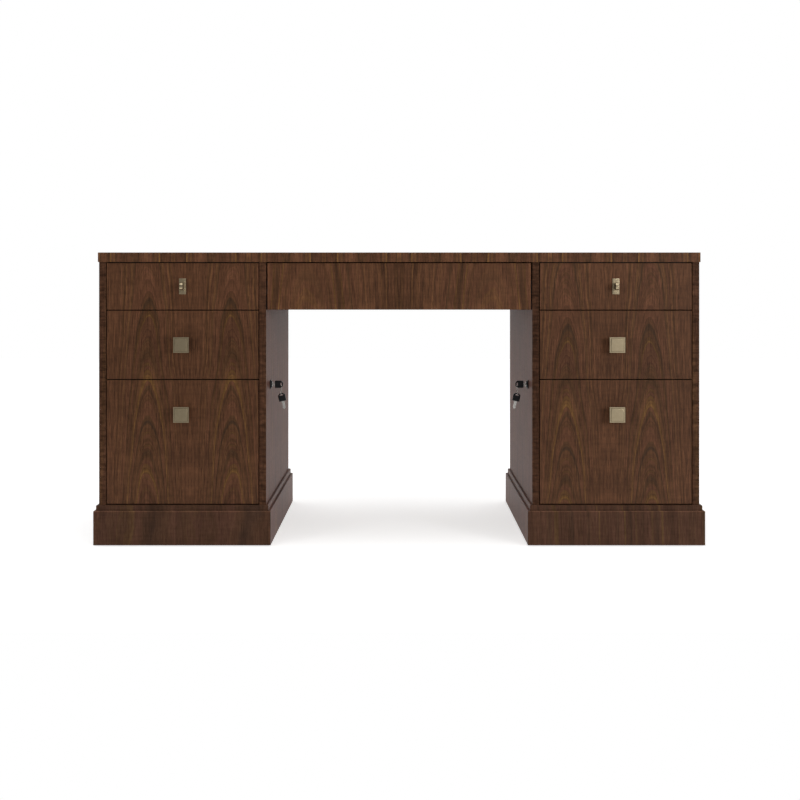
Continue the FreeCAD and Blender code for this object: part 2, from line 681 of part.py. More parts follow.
def lock_plug():
    """Turning plug with its keyway, cam and cam pin."""
    x_nose = X_KNEE - LOCK_NOSE_PROJECTION
    centre = Vector(0, Y_LOCK, LOCK_HEIGHT)
    core = rod(PLUG_RADIUS, centre + Vector(x_nose, 0, 0), centre + Vector(X_CAM, 0, 0))
    cam = rod(CAM_RADIUS, centre + Vector(X_CAM, 0, 0), centre + Vector(X_CAM + CAM_THICKNESS, 0, 0))
    angle = math.radians(CAM_REST_ANGLE)
    orbit = Vector(0, CAM_PIN_ORBIT * math.cos(angle), -CAM_PIN_ORBIT * math.sin(angle))
    x_pin = X_BAR + BAR_THICKNESS
    pin = rod(CAM_PIN_RADIUS, centre + orbit + Vector(X_CAM, 0, 0), centre + orbit + Vector(x_pin, 0, 0))
    plug = core.fuse([cam, pin]).removeSplitter()
    half_width = KEY_BLADE_THICKNESS / 2 + KEYWAY_PLAY
    half_height = KEY_BLADE_HEIGHT / 2 + KEYWAY_PLAY
    keyway = board(x_nose, x_nose + KEY_INSERTION + KEYWAY_PLAY, Y_LOCK - half_width, Y_LOCK + half_width,
                   LOCK_HEIGHT - half_height, LOCK_HEIGHT + half_height)
    return [plug.cut(keyway)]


def lock_bar():
    """Flat bar in the groove, slotted for the cam pin, and the catches riveted to it, one for each drawer."""
    low, high = bar_span()
    half = BAR_WIDTH / 2
    x_face = X_BAR + BAR_THICKNESS
    bar = board(X_BAR, x_face, Y_LOCK - half, Y_LOCK + half, low, high)
    x_catch = X_NEAR + RUNNER_SPACE - CATCH_BOX_GAP
    y_catch = CATCH_THICKNESS / 2
    catches = []
    for z in catch_bottoms():
        catches.append(board(x_face, x_catch, Y_LOCK - y_catch, Y_LOCK + y_catch, z, z + CATCH_HEIGHT))
    angle = math.radians(CAM_REST_ANGLE)
    reach = CAM_PIN_RADIUS + BAR_SLOT_PLAY
    z_pin = LOCK_HEIGHT - CAM_PIN_ORBIT * math.sin(angle)
    slot = board(X_BAR, x_face, Y_LOCK + CAM_PIN_ORBIT * math.cos(angle) - reach,
                 Y_LOCK + CAM_PIN_ORBIT + reach, z_pin - reach, z_pin + reach)
    return [bar.cut(slot)] + catches


def key_pieces():
    """Blade and bow of a key along +X, with the tip of the blade at the origin."""
    half_blade = KEY_BLADE_HEIGHT / 2
    tip_slope = KEY_TIP_SLOPE
    y = -KEY_BLADE_THICKNESS / 2
    length = KEY_BLADE_LENGTH + KEY_BLADE_SEAT
    outline = [Vector(0, y, -half_blade + tip_slope), Vector(tip_slope, y, -half_blade),
               Vector(length, y, -half_blade), Vector(length, y, half_blade),
               Vector(tip_slope, y, half_blade), Vector(0, y, half_blade - tip_slope)]
    blade = prism(outline, Vector(0, KEY_BLADE_THICKNESS, 0))
    half = KEY_BOW_THICKNESS / 2
    x0 = KEY_BLADE_LENGTH
    x1 = x0 + KEY_BOW_LENGTH
    bow = board(x0, x1, -half, half, -KEY_BOW_HEIGHT / 2, KEY_BOW_HEIGHT / 2)
    corners = [edge for edge in bow.Edges if edge.BoundBox.YLength > half]
    bow = bow.makeFillet(KEY_BOW_CORNER, corners)
    x_slot = x1 - KEY_SLOT_INSET
    slot = board(x_slot - KEY_SLOT_WIDTH, x_slot, -half, half, -KEY_SLOT_LENGTH / 2, KEY_SLOT_LENGTH / 2)
    bow = bow.cut(slot)
    bow = rounded(rounded(bow, KEY_BOW_ROUND, "Y", -half), KEY_BOW_ROUND, "Y", half)
    return [blade, bow.cut(blade)]


def key_tip():
    """Where the blade's tip lies in the lock."""
    return Vector(X_KNEE - LOCK_NOSE_PROJECTION + KEY_INSERTION, Y_LOCK, LOCK_HEIGHT)


def lock_key():
    """Key in the right lock: it reaches into the kneehole, along -X."""
    key = []
    for piece in key_pieces():
        piece.rotate(Vector(0, 0, 0), Vector(0, 0, 1), 180)
        piece.translate(key_tip())
        key.append(piece)
    return key


def ring_centre():
    """Middle of the ring that hangs in the slot of the bow: it turns about it, with the spare key."""
    slot_middle = KEY_BLADE_LENGTH + KEY_BOW_LENGTH - KEY_SLOT_INSET - KEY_SLOT_WIDTH / 2
    inner_radius = KEY_RING_RADIUS - KEY_RING_WIRE_RADIUS
    return key_tip() + Vector(-slot_middle, 0, KEY_RING_PLAY - KEY_SLOT_LENGTH / 2 - inner_radius)


def spare_key():
    """Ring through the bow of the key in the lock, and the spare key that hangs on it, a little askew."""
    inner_radius = KEY_RING_RADIUS - KEY_RING_WIRE_RADIUS
    centre = ring_centre()
    ring = Part.makeTorus(KEY_RING_RADIUS, KEY_RING_WIRE_RADIUS, centre, Vector(1, 0, 0))
    hang = centre + Vector(0, 0, KEY_SLOT_INSET / 2 + SPARE_KEY_PLAY - inner_radius)
    pieces = [ring]
    for piece in key_pieces():
        piece.translate(Vector(KEY_SLOT_INSET / 2 - KEY_BLADE_LENGTH - KEY_BOW_LENGTH, 0, 0))
        piece.rotate(Vector(0, 0, 0), Vector(0, 1, 0), -90 + SPARE_KEY_TILT)
        piece.translate(hang)
        pieces.append(piece)
    return pieces


def write(node, solids):
    """One STEP file per node."""
    shape = solids[0] if len(solids) == 1 else Part.makeCompound(solids)
    shape.exportStep("parts/" + node + ".step")


def pedestal_nodes():
    """Every node that the two pedestals have in mirror image."""
    nodes = {
        "outer_side": outer_side(),
        "inner_side": inner_side(),
        "back_panel": back_panel(),
        "bottom_panel": bottom_panel(),
        "plinth": plinth(),
        "plinth_moulding": plinth_moulding(),
        "lock_housing": lock_housing(),
        "lock_plug": lock_plug(),
        "lock_bar": lock_bar(),
        "key": lock_key(),
        "spare_key": spare_key(),
        "file_rails": file_rails(),
        "file_middle_runners": file_middle_runners(),
        "top_pull": tab_pull(),
        "middle_knob": square_knob("middle"),
        "file_knob": square_knob("file"),
    }
    for drawer in FRONT_SPANS:
        nodes[drawer + "_front"] = drawer_front(drawer)
        nodes[drawer + "_box"] = pedestal_box(drawer)
        nodes[drawer + "_runners"] = drawer_runners(drawer)
    return nodes


def main():
    os.makedirs("parts", exist_ok=True)
    write("desk_top", desk_top())
    write("rear_apron", rear_apron())
    write("centre_front", centre_front())
    write("centre_box", centre_box())
    write("centre_runners", centre_runners())
    for node, solids in pedestal_nodes().items():
        write("right_" + node, solids)
        write("left_" + node, mirrored(solids))
    shared = {
        "top_rails": top_rails(),
        "top_screws": top_screws(),
        "floor_glides": floor_glides(),
        "cabinet_runners": cabinet_runners(),
    }
    for node, solids in shared.items():
        write(node, solids + mirrored(solids))


main()
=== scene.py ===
"""Looks of an executive desk: walnut veneer, brass pulls, keyed locks and dovetailed drawers."""

import json
import math

import bmesh
import bpy
from bpy.props import FloatProperty, FloatVectorProperty, PointerProperty
from mathutils import Matrix, Vector

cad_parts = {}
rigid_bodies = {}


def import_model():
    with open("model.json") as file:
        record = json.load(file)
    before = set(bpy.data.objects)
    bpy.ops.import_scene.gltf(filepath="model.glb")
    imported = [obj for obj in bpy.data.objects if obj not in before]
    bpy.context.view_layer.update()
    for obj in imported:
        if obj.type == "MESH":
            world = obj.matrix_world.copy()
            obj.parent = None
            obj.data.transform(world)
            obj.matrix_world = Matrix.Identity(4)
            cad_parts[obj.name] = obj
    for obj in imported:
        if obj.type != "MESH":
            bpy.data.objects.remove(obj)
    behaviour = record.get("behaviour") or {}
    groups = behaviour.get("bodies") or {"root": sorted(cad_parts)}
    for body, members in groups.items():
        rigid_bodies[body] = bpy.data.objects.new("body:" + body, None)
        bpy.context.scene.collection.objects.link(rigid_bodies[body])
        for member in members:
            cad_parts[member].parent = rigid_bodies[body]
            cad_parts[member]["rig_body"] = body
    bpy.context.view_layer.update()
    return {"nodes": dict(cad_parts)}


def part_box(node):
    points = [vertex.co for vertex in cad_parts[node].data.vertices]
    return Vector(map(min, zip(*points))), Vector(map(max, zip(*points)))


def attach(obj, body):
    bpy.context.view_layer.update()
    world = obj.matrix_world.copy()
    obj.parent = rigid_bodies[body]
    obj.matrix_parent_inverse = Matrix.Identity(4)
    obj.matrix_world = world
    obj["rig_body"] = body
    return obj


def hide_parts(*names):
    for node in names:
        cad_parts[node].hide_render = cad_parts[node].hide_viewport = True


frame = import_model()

bl_info = {
    "name": "Executive desk",
    "version": (1, 0, 0),
    "blender": (4, 5, 0),
    "location": "3D View > Sidebar > Desk",
    "description": "Builds the finishes and fittings of a two-pedestal desk on its packed frame",
    "category": "Object",
}

MM = 0.001
SIDES = ("left", "right")
DRAWERS = ("top", "middle", "file")
FRONT_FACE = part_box("centre_front")[0].y / MM
NEAR = 1e-6
RUNNER_STEEL = 1.2 * MM
MIRROR = Matrix.Diagonal((-1.0, 1.0, 1.0, 1.0))

finishes = {}


def size_setting(name, description, millimetres):
    return FloatProperty(name=name, description=description, default=millimetres * MM, unit="LENGTH")


def colour_setting(name, description, colour):
    return FloatVectorProperty(
        name=name, description=description, default=colour, subtype="COLOR", min=0.0, max=1.0)


def power_setting(name, description, watts):
    return FloatProperty(name=name, description=description, default=watts, subtype="POWER")


class DeskStageSettings(bpy.types.PropertyGroup):
    """Camera, lamps and floor."""

    eye: FloatVectorProperty(
        name="Eye", description="Place of the level camera", default=(0.0, -4.068, 0.667),
        subtype="TRANSLATION", unit="LENGTH")
    lens: FloatProperty(
        name="Lens", description="Focal length on a 36 mm sensor, in millimetres", default=64.0, min=10.0)
    frame_rise: FloatProperty(
        name="Frame rise", description="Shift of the picture, as a share of its width", default=-0.1388)
    frame_slide: FloatProperty(
        name="Frame slide", description="Sideways shift of the picture", default=0.001)
    key_power: power_setting("Key lamp", "Power of the soft lamp at the right front", 60.0)
    fill_power: power_setting("Fill lamp", "Power of the soft lamp at the left front", 41.0)
    top_power: power_setting("Top lamp", "Power of the soft lamp overhead", 40.0)
    floor_colour: colour_setting("Floor", "Colour of the plain floor", (0.8, 0.8, 0.8))
    floor_lift: FloatProperty(
        name="Floor lift", description="White that the floor adds for the camera", default=0.54,
        min=0.0, max=1.0)


class DeskWalnutSettings(bpy.types.PropertyGroup):
    """Colours and figure of the walnut veneer."""

    dark: colour_setting("Dark streak", "Darkest wood of a growth ring", (0.041, 0.0215, 0.0115))
    brown: colour_setting("Brown", "Common ground of the veneer", (0.074, 0.0332, 0.0144))
    red: colour_setting("Red brown", "Straight grain between the arches", (0.0935, 0.0378, 0.0200))
    gold: colour_setting("Golden streak", "Lightest wood of a growth ring", (0.150, 0.0755, 0.0205))
    ring: FloatProperty(
        name="Ring width", description="Mean width of a growth ring, in millimetres", default=5.6, min=1.0)


class DeskPullSettings(bpy.types.PropertyGroup):
    """Sizes of the knobs and the tab pulls."""

    rim: size_setting("Knob rim", "Width of the step round a knob's field", 4.0)
    groove: size_setting("Groove", "Width of the dark groove round the raised field", 0.9)
    rise: size_setting("Field rise", "Height of a knob's field over its rim", 1.5)
    head: size_setting("Head", "Thickness of a knob's head under its rim", 7.0)
    stem: size_setting("Stem", "Radius of a knob's stem", 6.5)
    foot: size_setting("Foot", "Radius of the foot on the drawer front", 9.0)
    foot_height: size_setting("Foot height", "Thickness of the foot", 3.0)
    plate: size_setting("Plate", "Thickness of a tab pull's plate", 2.5)
    plate_rim: size_setting("Plate rim", "Width of the step round the plate's field", 2.75)
    plate_rise: size_setting("Plate rise", "Height of the plate's field", 1.2)
    tab: size_setting("Tab", "Width of the finger tab", 8.6)
    tab_height: size_setting("Tab height", "Height of the tab at its round nose", 19.0)
    tab_neck: size_setting("Tab neck", "Height of the tab where it meets the plate", 14.0)
    screw: size_setting("Screw", "Radius of a pull screw's shank", 2.0)
    screw_head: size_setting("Screw head", "Radius of a pull screw's head", 4.2)
    screw_rise: size_setting("Screw rise", "Height of a pull screw's head", 2.4)
    screw_bite: size_setting("Screw bite", "Length of the screw inside the pull", 10.0)


class DeskLockSettings(bpy.types.PropertyGroup):
    """Sizes of the locks and keys."""

    rose: size_setting("Rose", "Thickness of the lock's rose", 2.5)
    nose: size_setting("Nose", "Radius of the lock's nose", 9.0)
    projection: size_setting("Projection", "Reach of the nose into the kneehole", 6.0)
    body: size_setting("Body", "Radius of the lock's body in the side", 9.3)
    plug: size_setting("Plug", "Radius of the turning plug", 5.5)
    cam: size_setting("Cam", "Thickness of the cam on the plug", 2.0)
    pin: size_setting("Cam pin", "Radius of the pin that lifts the bar", 2.0)
    orbit: size_setting("Pin orbit", "Distance of the pin from the plug's axis", 6.0)
    blade: size_setting("Blade", "Length of a key's blade to its bow", 20.5)
    blade_height: size_setting("Blade height", "Height of a key's blade", 7.4)
    blade_thickness: size_setting("Blade thickness", "Thickness of a key's blade", 2.2)
    insertion: size_setting("Insertion", "Length of the blade inside the lock", 14.0)
    bow: size_setting("Bow", "Length of a key's bow", 22.0)
    bow_height: size_setting("Bow height", "Height of a key's bow", 19.5)
    bow_thickness: size_setting("Bow thickness", "Thickness of a key's bow", 4.6)
    slot: size_setting("Slot", "Length of the slot in a bow", 9.0)
    slot_width: size_setting("Slot width", "Width of the slot in a bow", 3.6)
    slot_inset: size_setting("Slot inset", "Width of the bow outside its slot", 3.2)
    ring: size_setting("Ring", "Radius of the key ring at its wire", 12.3)
    wire: size_setting("Wire", "Radius of the doubled wire of the ring", 0.7)
    hang_play: size_setting("Hang play", "Room between the ring and the spare key", 0.3)
    tilt: FloatProperty(
        name="Tilt", description="Lean of the spare key", default=math.radians(12.0), subtype="ANGLE")


class DeskDrawerSettings(bpy.types.PropertyGroup):
    """Sizes of the dovetailed drawer boxes."""

    wall: size_setting("Wall", "Thickness of the box walls", 12.0)
    bottom: size_setting("Bottom", "Thickness of the box bottom", 6.0)
    bottom_rise: size_setting("Bottom rise", "Height of the bottom over the lower edge", 8.0)
    groove: size_setting("Groove", "Depth of the groove that holds the bottom", 6.0)
    play: size_setting("Play", "Room of a bottom, rail or pull screw in its seat", 0.2)
    pitch: size_setting("Tail pitch", "Least distance from tail to tail", 32.0)
    tail: size_setting("Tail", "Width of a dovetail at its end", 20.0)
    flare: size_setting("Flare", "Narrowing of a dovetail on each side", 1.7)
    ease: size_setting("Ease", "Softening of the boards' edges", 0.35)


class Nodes:
    """A node tree under construction."""

    def __init__(self, tree):
        self.nodes, self.links = tree.nodes, tree.links

    def add(self, kind, **settings):
        node = self.nodes.new(kind)
        for name, value in settings.items():
            setattr(node, name, value)
        return node

    def put(self, socket, value):
        """Links a socket to another, or sets it to a plain value."""
        if isinstance(value, bpy.types.NodeSocket):
            self.links.new(value, socket)
        else:
            socket.default_value = value

    def fill(self, sockets, *values):
        """Puts values into sockets in their order."""
        for socket, value in zip(sockets, values):
            self.put(socket, value)

    def math(self, operation, a, b=0.0, c=0.0):
        node = self.add("ShaderNodeMath", operation=operation)
        self.fill(node.inputs, a, b, c)
        return node.outputs[0]

    def plus(self, a, b):
        return self.math("ADD", a, b)

    def less(self, a, b):
        return self.math("SUBTRACT", a, b)

    def times(self, a, b):
        return self.math("MULTIPLY", a, b)

    def over(self, a, b):
        return self.math("DIVIDE", a, b)

    def size(self, a):
        return self.math("ABSOLUTE", a)

    def largest(self, first, *others):
        """The largest of several sockets."""
        for other in others:
            first = self.math("MAXIMUM", first, other)
        return first

    def parts(self, vector):
        """The three coordinates of a vector."""
        node = self.add("ShaderNodeSeparateXYZ")
        self.put(node.inputs[0], vector)
        return node.outputs

    def span(self, value, start, end, low, high, steps="LINEAR"):
        """Map of start to end onto low to high, straight unless its steps are named."""
        node = self.add("ShaderNodeMapRange", interpolation_type=steps)
        self.fill(node.inputs, value, start, end, low, high)
        return node.outputs[0]

    def fade(self, value, start, end, low=0.0, high=1.0):
        """Smooth step from low to high as the value goes from start to end."""
        return self.span(value, start, end, low, high, "SMOOTHSTEP")


class Finish(Nodes):
    """A material under construction. Lengths are millimetres of the piece's own coordinates."""

    def __init__(self, name):
        self.material = bpy.data.materials.new(name)
        self.material.use_nodes = True
        super().__init__(self.material.node_tree)
        self.shader = self.nodes["Principled BSDF"]
        self.place = self.scaled(self.add("ShaderNodeTexCoord").outputs["Object"], 1 / MM)
        self.x, self.y, self.z = self.parts(self.place)

    def scaled(self, vector, factor):
        """A place or a colour times a number."""
        node = self.add("ShaderNodeVectorMath", operation="SCALE")
        self.put(node.inputs[0], vector)
        self.put(node.inputs["Scale"], factor)
        return node.outputs["Vector"]

    def point(self, x, y, z):
        node = self.add("ShaderNodeCombineXYZ")
        self.fill(node.inputs, x, y, z)
        return node.outputs[0]

    def stretched(self, *lengths):
        """The place, measured in a length of its own along each axis."""
        axes = (self.x, self.y, self.z)
        return self.point(*(self.over(axis, length) for axis, length in zip(axes, lengths)))

    def texture(self, socket, place, detail, roughness, **settings):
        node = self.add("ShaderNodeTexNoise", **settings)
        for name, value in ((socket, place), ("Scale", 1.0), ("Detail", detail), ("Roughness", roughness)):
            self.put(node.inputs[name], value)
        return node.outputs["Fac"]

    def noise(self, vector, detail, roughness=0.5):
        """Soft noise from 0 to 1, with features about one unit of the vector wide."""
        return self.texture("Vector", vector, detail, roughness)

    def stripe(self, along, detail=1.0, roughness=0.5):
        """Noise along one line, with features about one unit wide."""
        return self.texture("W", along, detail, roughness, noise_dimensions="1D")

    def ramp(self, factor, stops):
        node = self.add("ShaderNodeValToRGB")
        self.put(node.inputs[0], factor)
        elements = node.color_ramp.elements
        elements[0].position = stops[0][0]
        elements[1].position = stops[-1][0]
        for position, _ in stops[1:-1]:
            elements.new(position)
        for element, (_, colour) in zip(elements, stops):
            element.color = (*colour, 1.0)
        return node.outputs[0]

    def mix(self, factor, a, b, blend="MIX"):
        node = self.add("ShaderNodeMix", data_type="RGBA", blend_type=blend)
        self.put(node.inputs["Factor"], factor)
        for name, value in (("A", a), ("B", b)):
            socket = next(s for s in node.inputs if s.name == name and s.type == "RGBA")
            self.put(socket, value if isinstance(value, bpy.types.NodeSocket) else (*value, 1.0))
        return next(s for s in node.outputs if s.type == "RGBA")

    def tinted(self, colour, tint):
        """A colour times another, channel by channel."""
        return self.mix(1.0, colour, tint, "MULTIPLY")

    def bump(self, height, depth, strength):
        node = self.add("ShaderNodeBump")
        for name, value in (("Strength", strength), ("Distance", depth * MM), ("Height", height)):
            self.put(node.inputs[name], value)
        self.put(self.shader.inputs["Normal"], node.outputs[0])

    def surface(self, **inputs):
        """Sets the shader's own sockets, named in words joined by underscores."""
        for name, value in inputs.items():
            self.put(self.shader.inputs[name.replace("_", " ")], value)
        return self.material


class Walnut(Finish):
    """Walnut veneer: growth rings cut flat, fibres, pores and a satin lacquer."""

    # Millimetres of ring depth from one seed's wood to the next.
    seed_step = 137.0

    def __init__(self, name, walnut):
        super().__init__(name)
        self.walnut = walnut

    def drawn(self, across, along, width, length, seed, detail, roughness=0.55):
        """Noise drawn out along the grain, with features of this width and length."""
        place = self.point(self.over(across, width), self.over(along, length), seed)
        return self.noise(place, detail, roughness)

    def rings(self, across, along, heart, climb, wander, seed, bow=0.5, depth=None):
        """Depth into the growth rings: nested arches round the line where across is 0.

        A larger bow sets the legs of the arches more upright."""
        broad = self.drawn(across, along, width=110.0, length=260.0, seed=seed, detail=2.0, roughness=0.5)
        close = self.drawn(across, along, width=22.0, length=75.0, seed=seed + 3.7, detail=2.0, roughness=0.5)
        wavy = self.drawn(across, along, width=7.0, length=34.0, seed=seed + 6.1, detail=2.0)
        bent = self.plus(across, self.span(broad, 0.0, 1.0, -wander, wander))
        ratio = self.over(bent, heart)
        spread = self.math("POWER", self.math("MULTIPLY_ADD", ratio, ratio, 1.0), bow)
        climbed = self.math("MULTIPLY_ADD", along, climb, self.times(spread, depth or heart))
        loose = self.plus(self.span(close, 0.0, 1.0, -3.0, 3.0), self.span(wavy, 0.0, 1.0, -1.1, 1.1))
        return self.plus(climbed, loose)

    def grain(self, across, along, rings, seed, contrast=1.0, clouds=0.2, fibres=1.0, plain=0.0):
        """Colour of the veneer from its rings, with streaks, fibres and pores along the grain."""
        walnut = self.walnut
        seeded = self.plus(rings, seed * self.seed_step)
        tone = self.stripe(self.over(seeded, 3.4 * walnut.ring), detail=4.0, roughness=0.68)
        ground = self.ramp(tone, (
            (0.30, walnut.dark), (0.43, walnut.brown), (0.53, walnut.red), (0.60, walnut.brown),
            (0.74, walnut.gold)))
        ground = self.mix(plain, ground, [0.55 * a + 0.45 * b for a, b in zip(walnut.brown, walnut.red)])

        swell = self.times(self.stripe(self.over(seeded, 31.0)), 3.0)
        late = self.fade(self.math("FRACT", self.plus(self.over(seeded, walnut.ring), swell)), 0.35, 0.92)
        weight = self.span(self.stripe(self.times(seeded, 0.083)), 0.3, 0.7, 0.04, 0.31 * contrast)
        toned = self.less(1.0, self.times(self.times(late, weight), self.less(1.0, plain)))

        # Width and length of the features in millimetres, shift of the seed, and detail.
        fibre, streak, dash, patch, ripple, pore = (
            self.drawn(across, along, width, length, seed + shift, detail)
            for width, length, shift, detail in (
                (0.8, 24.0, 0.0, 3.0), (3.4, 58.0, 1.9, 2.0), (3.0, 22.0, 4.3, 1.0), (34.0, 120.0, 5.3, 2.0),
                (42.0, 8.0, 7.7, 1.0), (0.55, 7.0, 9.1, 1.0)))
        bands = self.stripe(self.over(seeded, 38.0))
        for layer, change in ((fibre, 0.2 * fibres), (streak, 0.26 * fibres), (patch, clouds), (ripple, 0.08),
                              (bands, 0.2 * contrast)):
            toned = self.times(toned, self.span(layer, 0.28, 0.72, 1.0 - change, 1.0 + change))
        toned = self.times(toned, self.fade(dash, 0.55, 0.70, 1.0, 1.0 - 0.20 * fibres))
        self.pores = self.fade(pore, 0.60, 0.72)
        return self.scaled(ground, self.times(toned, self.span(self.pores, 0.0, 1.0, 1.0, 0.68)))

    def leaves(self, place, leaf):
        """Distance from the middle of a leaf, where each leaf mirrors the one before."""
        return self.less(self.math("PINGPONG", place, leaf), leaf / 2)

    def lacquered(self, colour, gloss=0.10, bare=0.0):
        """Satin lacquer over the veneer, left off where bare is 1."""
        self.bump(self.less(1.0, self.pores), depth=0.06, strength=0.35)
        rough = self.math("MAXIMUM", self.span(self.pores, 0.0, 1.0, 0.46, 0.56), bare)
        return self.surface(Base_Color=colour, Roughness=rough, Specular_IOR_Level=gloss)


def pedestal_front_finish(walnut):
    """One matched sheet down the three drawers of a pedestal: arches either side of the book match."""
    finish = Walnut("walnut_pedestal_fronts", walnut)
    match_line, leaf_middle, shift = 545.0, 109.0, 34.0
    from_match = finish.size(finish.less(finish.size(finish.x), match_line))
    across = finish.less(from_match, leaf_middle)
    along = finish.math("MULTIPLY_ADD", finish.math("SIGN", finish.x), shift, finish.z)
    rings = finish.rings(across, along, heart=12.0, climb=0.29, wander=14.0, seed=2.0, bow=1.1, depth=3.5)
    straight = finish.fade(finish.size(across), 42.0, 92.0, 0.0, 0.72)
    wood = finish.grain(across, along, rings, seed=5.0, contrast=0.9, clouds=0.15, fibres=1.3, plain=straight)
    # Painted light: the fronts grow lighter upwards, most over the top drawers, for the light from above.
    lower_painted_light = finish.fade(finish.z, 380.0, 520.0, 1.04, 1.06)
    upper_painted_light = finish.fade(finish.z, 540.0, 680.0, 1.0, 1.10)
    return finish.lacquered(finish.scaled(wood, finish.times(lower_painted_light, upper_painted_light)))


def centre_front_finish(walnut):
    """Two leaves matched at the middle of the wide front, arches at a third of its width."""
    finish = Walnut("walnut_centre_front", walnut)
    heart_line = 240.0
    from_join = finish.size(finish.x)
    across = finish.less(from_join, heart_line)
    rings = finish.rings(across, finish.z, heart=40.0, climb=0.16, wander=14.0, seed=6.0, bow=1.1, depth=12.0)
    beside_join = finish.fade(from_join, 40.0, 110.0)
    beside_heart = finish.fade(finish.size(across), 30.0, 80.0)
    plain = finish.span(finish.times(beside_join, beside_heart), 0.0, 1.0, 0.62, 0.2)
    wood = finish.grain(across, finish.z, rings, seed=6.0, contrast=0.9, clouds=0.15, fibres=1.3, plain=plain)
    dark_join = finish.fade(from_join, 15.0, 75.0, 0.88, 1.2)
    return finish.lacquered(finish.scaled(wood, dark_join))


def top_finish(walnut):
    """Leaves matched along the top, grain from front to back and down over the edges."""
    finish = Walnut("walnut_top", walnut)
    leaf, lightness = 196.0, 1.22
    across = finish.leaves(finish.x, leaf)
    along = finish.less(finish.y, finish.z)
    rings = finish.rings(across, along, heart=18.0, climb=0.075, wander=14.0, seed=11.0, bow=0.75, depth=15.0)
    wood = finish.grain(across, along, rings, seed=11.0, contrast=1.1, clouds=0.34, fibres=1.3, plain=0.2)
    # Painted light: lightness brightens the whole top for the light falling on it from above.
    return finish.lacquered(finish.scaled(wood, lightness))


def side_finish(walnut):
    """Upright grain on the sides, and cross figure on their narrow edges.

    The kneehole faces carry painted light, lighter and bluer, and beside the centre drawer painted shade and
    bare lacquer."""
    finish = Walnut("walnut_sides", walnut)
    leaf, first_join = 187.0, 8.75
    painted_knee_light, edge_tint = (1.48, 1.46, 2.0), (0.92, 0.98, 1.14)
    low, high = (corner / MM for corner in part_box("right_inner_side"))
    skin = 1.0
    across = finish.leaves(finish.less(finish.y, first_join), leaf)
    rings = finish.rings(across, finish.z, heart=20.0, climb=0.035, wander=9.0, seed=17.0)
    face = finish.grain(across, finish.z, rings, seed=17.0, contrast=0.6, clouds=0.12)
    face_pores = finish.pores
    in_knee = finish.math("LESS_THAN", finish.size(finish.x), low.x + skin)
    # Painted light: the kneehole faces are lightened and turned bluer, for the light from behind and their
    # pale sheen at a glance.
    face = finish.mix(in_knee, face, finish.tinted(face, painted_knee_light))
    by_drawer = finish.math("GREATER_THAN", finish.z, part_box("centre_front")[0].z / MM)
    bare = finish.times(in_knee, by_drawer)
    # Painted shade: behind the centre drawer the kneehole faces are darkened to a fifth, for the dark gap at
    # its ends.
    face = finish.scaled(face, finish.span(bare, 0.0, 1.0, 1.0, 0.2))

    bands = finish.drawn(finish.x, finish.z, width=26.0, length=7.5, seed=3.0, detail=3.0, roughness=0.6)
    lines = finish.rings(finish.x, finish.z, heart=30.0, climb=0.03, wander=5.0, seed=23.0)
    edge = finish.grain(finish.x, finish.z, lines, seed=23.0, contrast=0.5, plain=0.75)
    edge = finish.scaled(edge, finish.span(bands, 0.32, 0.64, 0.42, 1.18))
    middle, reach = (low.x + high.x) / 2, 12.0
    # Painted shade on the front edge of the right inner side.
    right_inner = finish.math("COMPARE", finish.x, middle, reach)
    edge = finish.scaled(edge, finish.span(right_inner, 0.0, 1.0, 1.0, 0.80))
    # Painted light on the front edge of the left inner side, beside the top drawers.
    left_inner = finish.math("COMPARE", finish.x, -middle, reach)
    left_painted_light = finish.times(left_inner, finish.fade(finish.z, 560.0, 640.0))
    edge = finish.scaled(edge, finish.span(left_painted_light, 0.0, 1.0, 1.0, 1.3))
    at_front = finish.math("LESS_THAN", finish.y, FRONT_FACE + skin)
    at_back = finish.math("GREATER_THAN", finish.y, high.y - skin)
    on_edge = finish.largest(at_front, at_back)
    finish.pores = finish.span(on_edge, 0.0, 1.0, face_pores, finish.pores)
    wood = finish.mix(on_edge, face, finish.tinted(edge, edge_tint))
    return finish.lacquered(wood, gloss=0.026, bare=finish.less(bare, on_edge))


def plinth_finish(walnut):
    """Straight upright grain, darker, with a painted highlight under the upper edge and painted light on the
    kneehole faces.
    """
    finish = Walnut("walnut_plinth", walnut)
    outer_tint, painted_knee_light = (1.04, 1.16, 1.45), (1.70, 1.70, 2.35)
    highlight_drop, highlight_reach, front_board = 1.1, 1.2, 12.0
    across = finish.plus(finish.x, finish.y)
    rings = finish.rings(across, finish.z, heart=400.0, climb=0.02, wander=6.0, seed=31.0)
    straight = finish.plus(finish.times(across, 0.8), rings)
    wood = finish.grain(
        across, finish.z, straight, seed=31.0, contrast=0.6, clouds=0.14, fibres=0.9, plain=0.45)
    low, high = (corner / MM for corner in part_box("right_plinth"))
    wood = finish.scaled(wood, finish.fade(finish.z, high.z - 0.5, high.z + 1.5, 0.83, 0.76))
    # Painted highlight: a light line just under the upper edge, where its arris catches the light.
    arris_highlight = finish.math("COMPARE", finish.z, high.z - highlight_drop, highlight_reach)
    outer = finish.tinted(finish.scaled(wood, finish.span(arris_highlight, 0.0, 1.0, 1.0, 1.6)), outer_tint)
    # Painted light: the kneehole faces of the plinth are lightened and turned bluer.
    knee_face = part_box("right_inner_side")[0].x / MM
    inward = finish.math("LESS_THAN", finish.size(finish.x), knee_face)
    in_knee = finish.times(inward, finish.math("GREATER_THAN", finish.y, low.y + front_board))
    return finish.lacquered(finish.mix(in_knee, outer, finish.tinted(wood, painted_knee_light)), gloss=0.05)


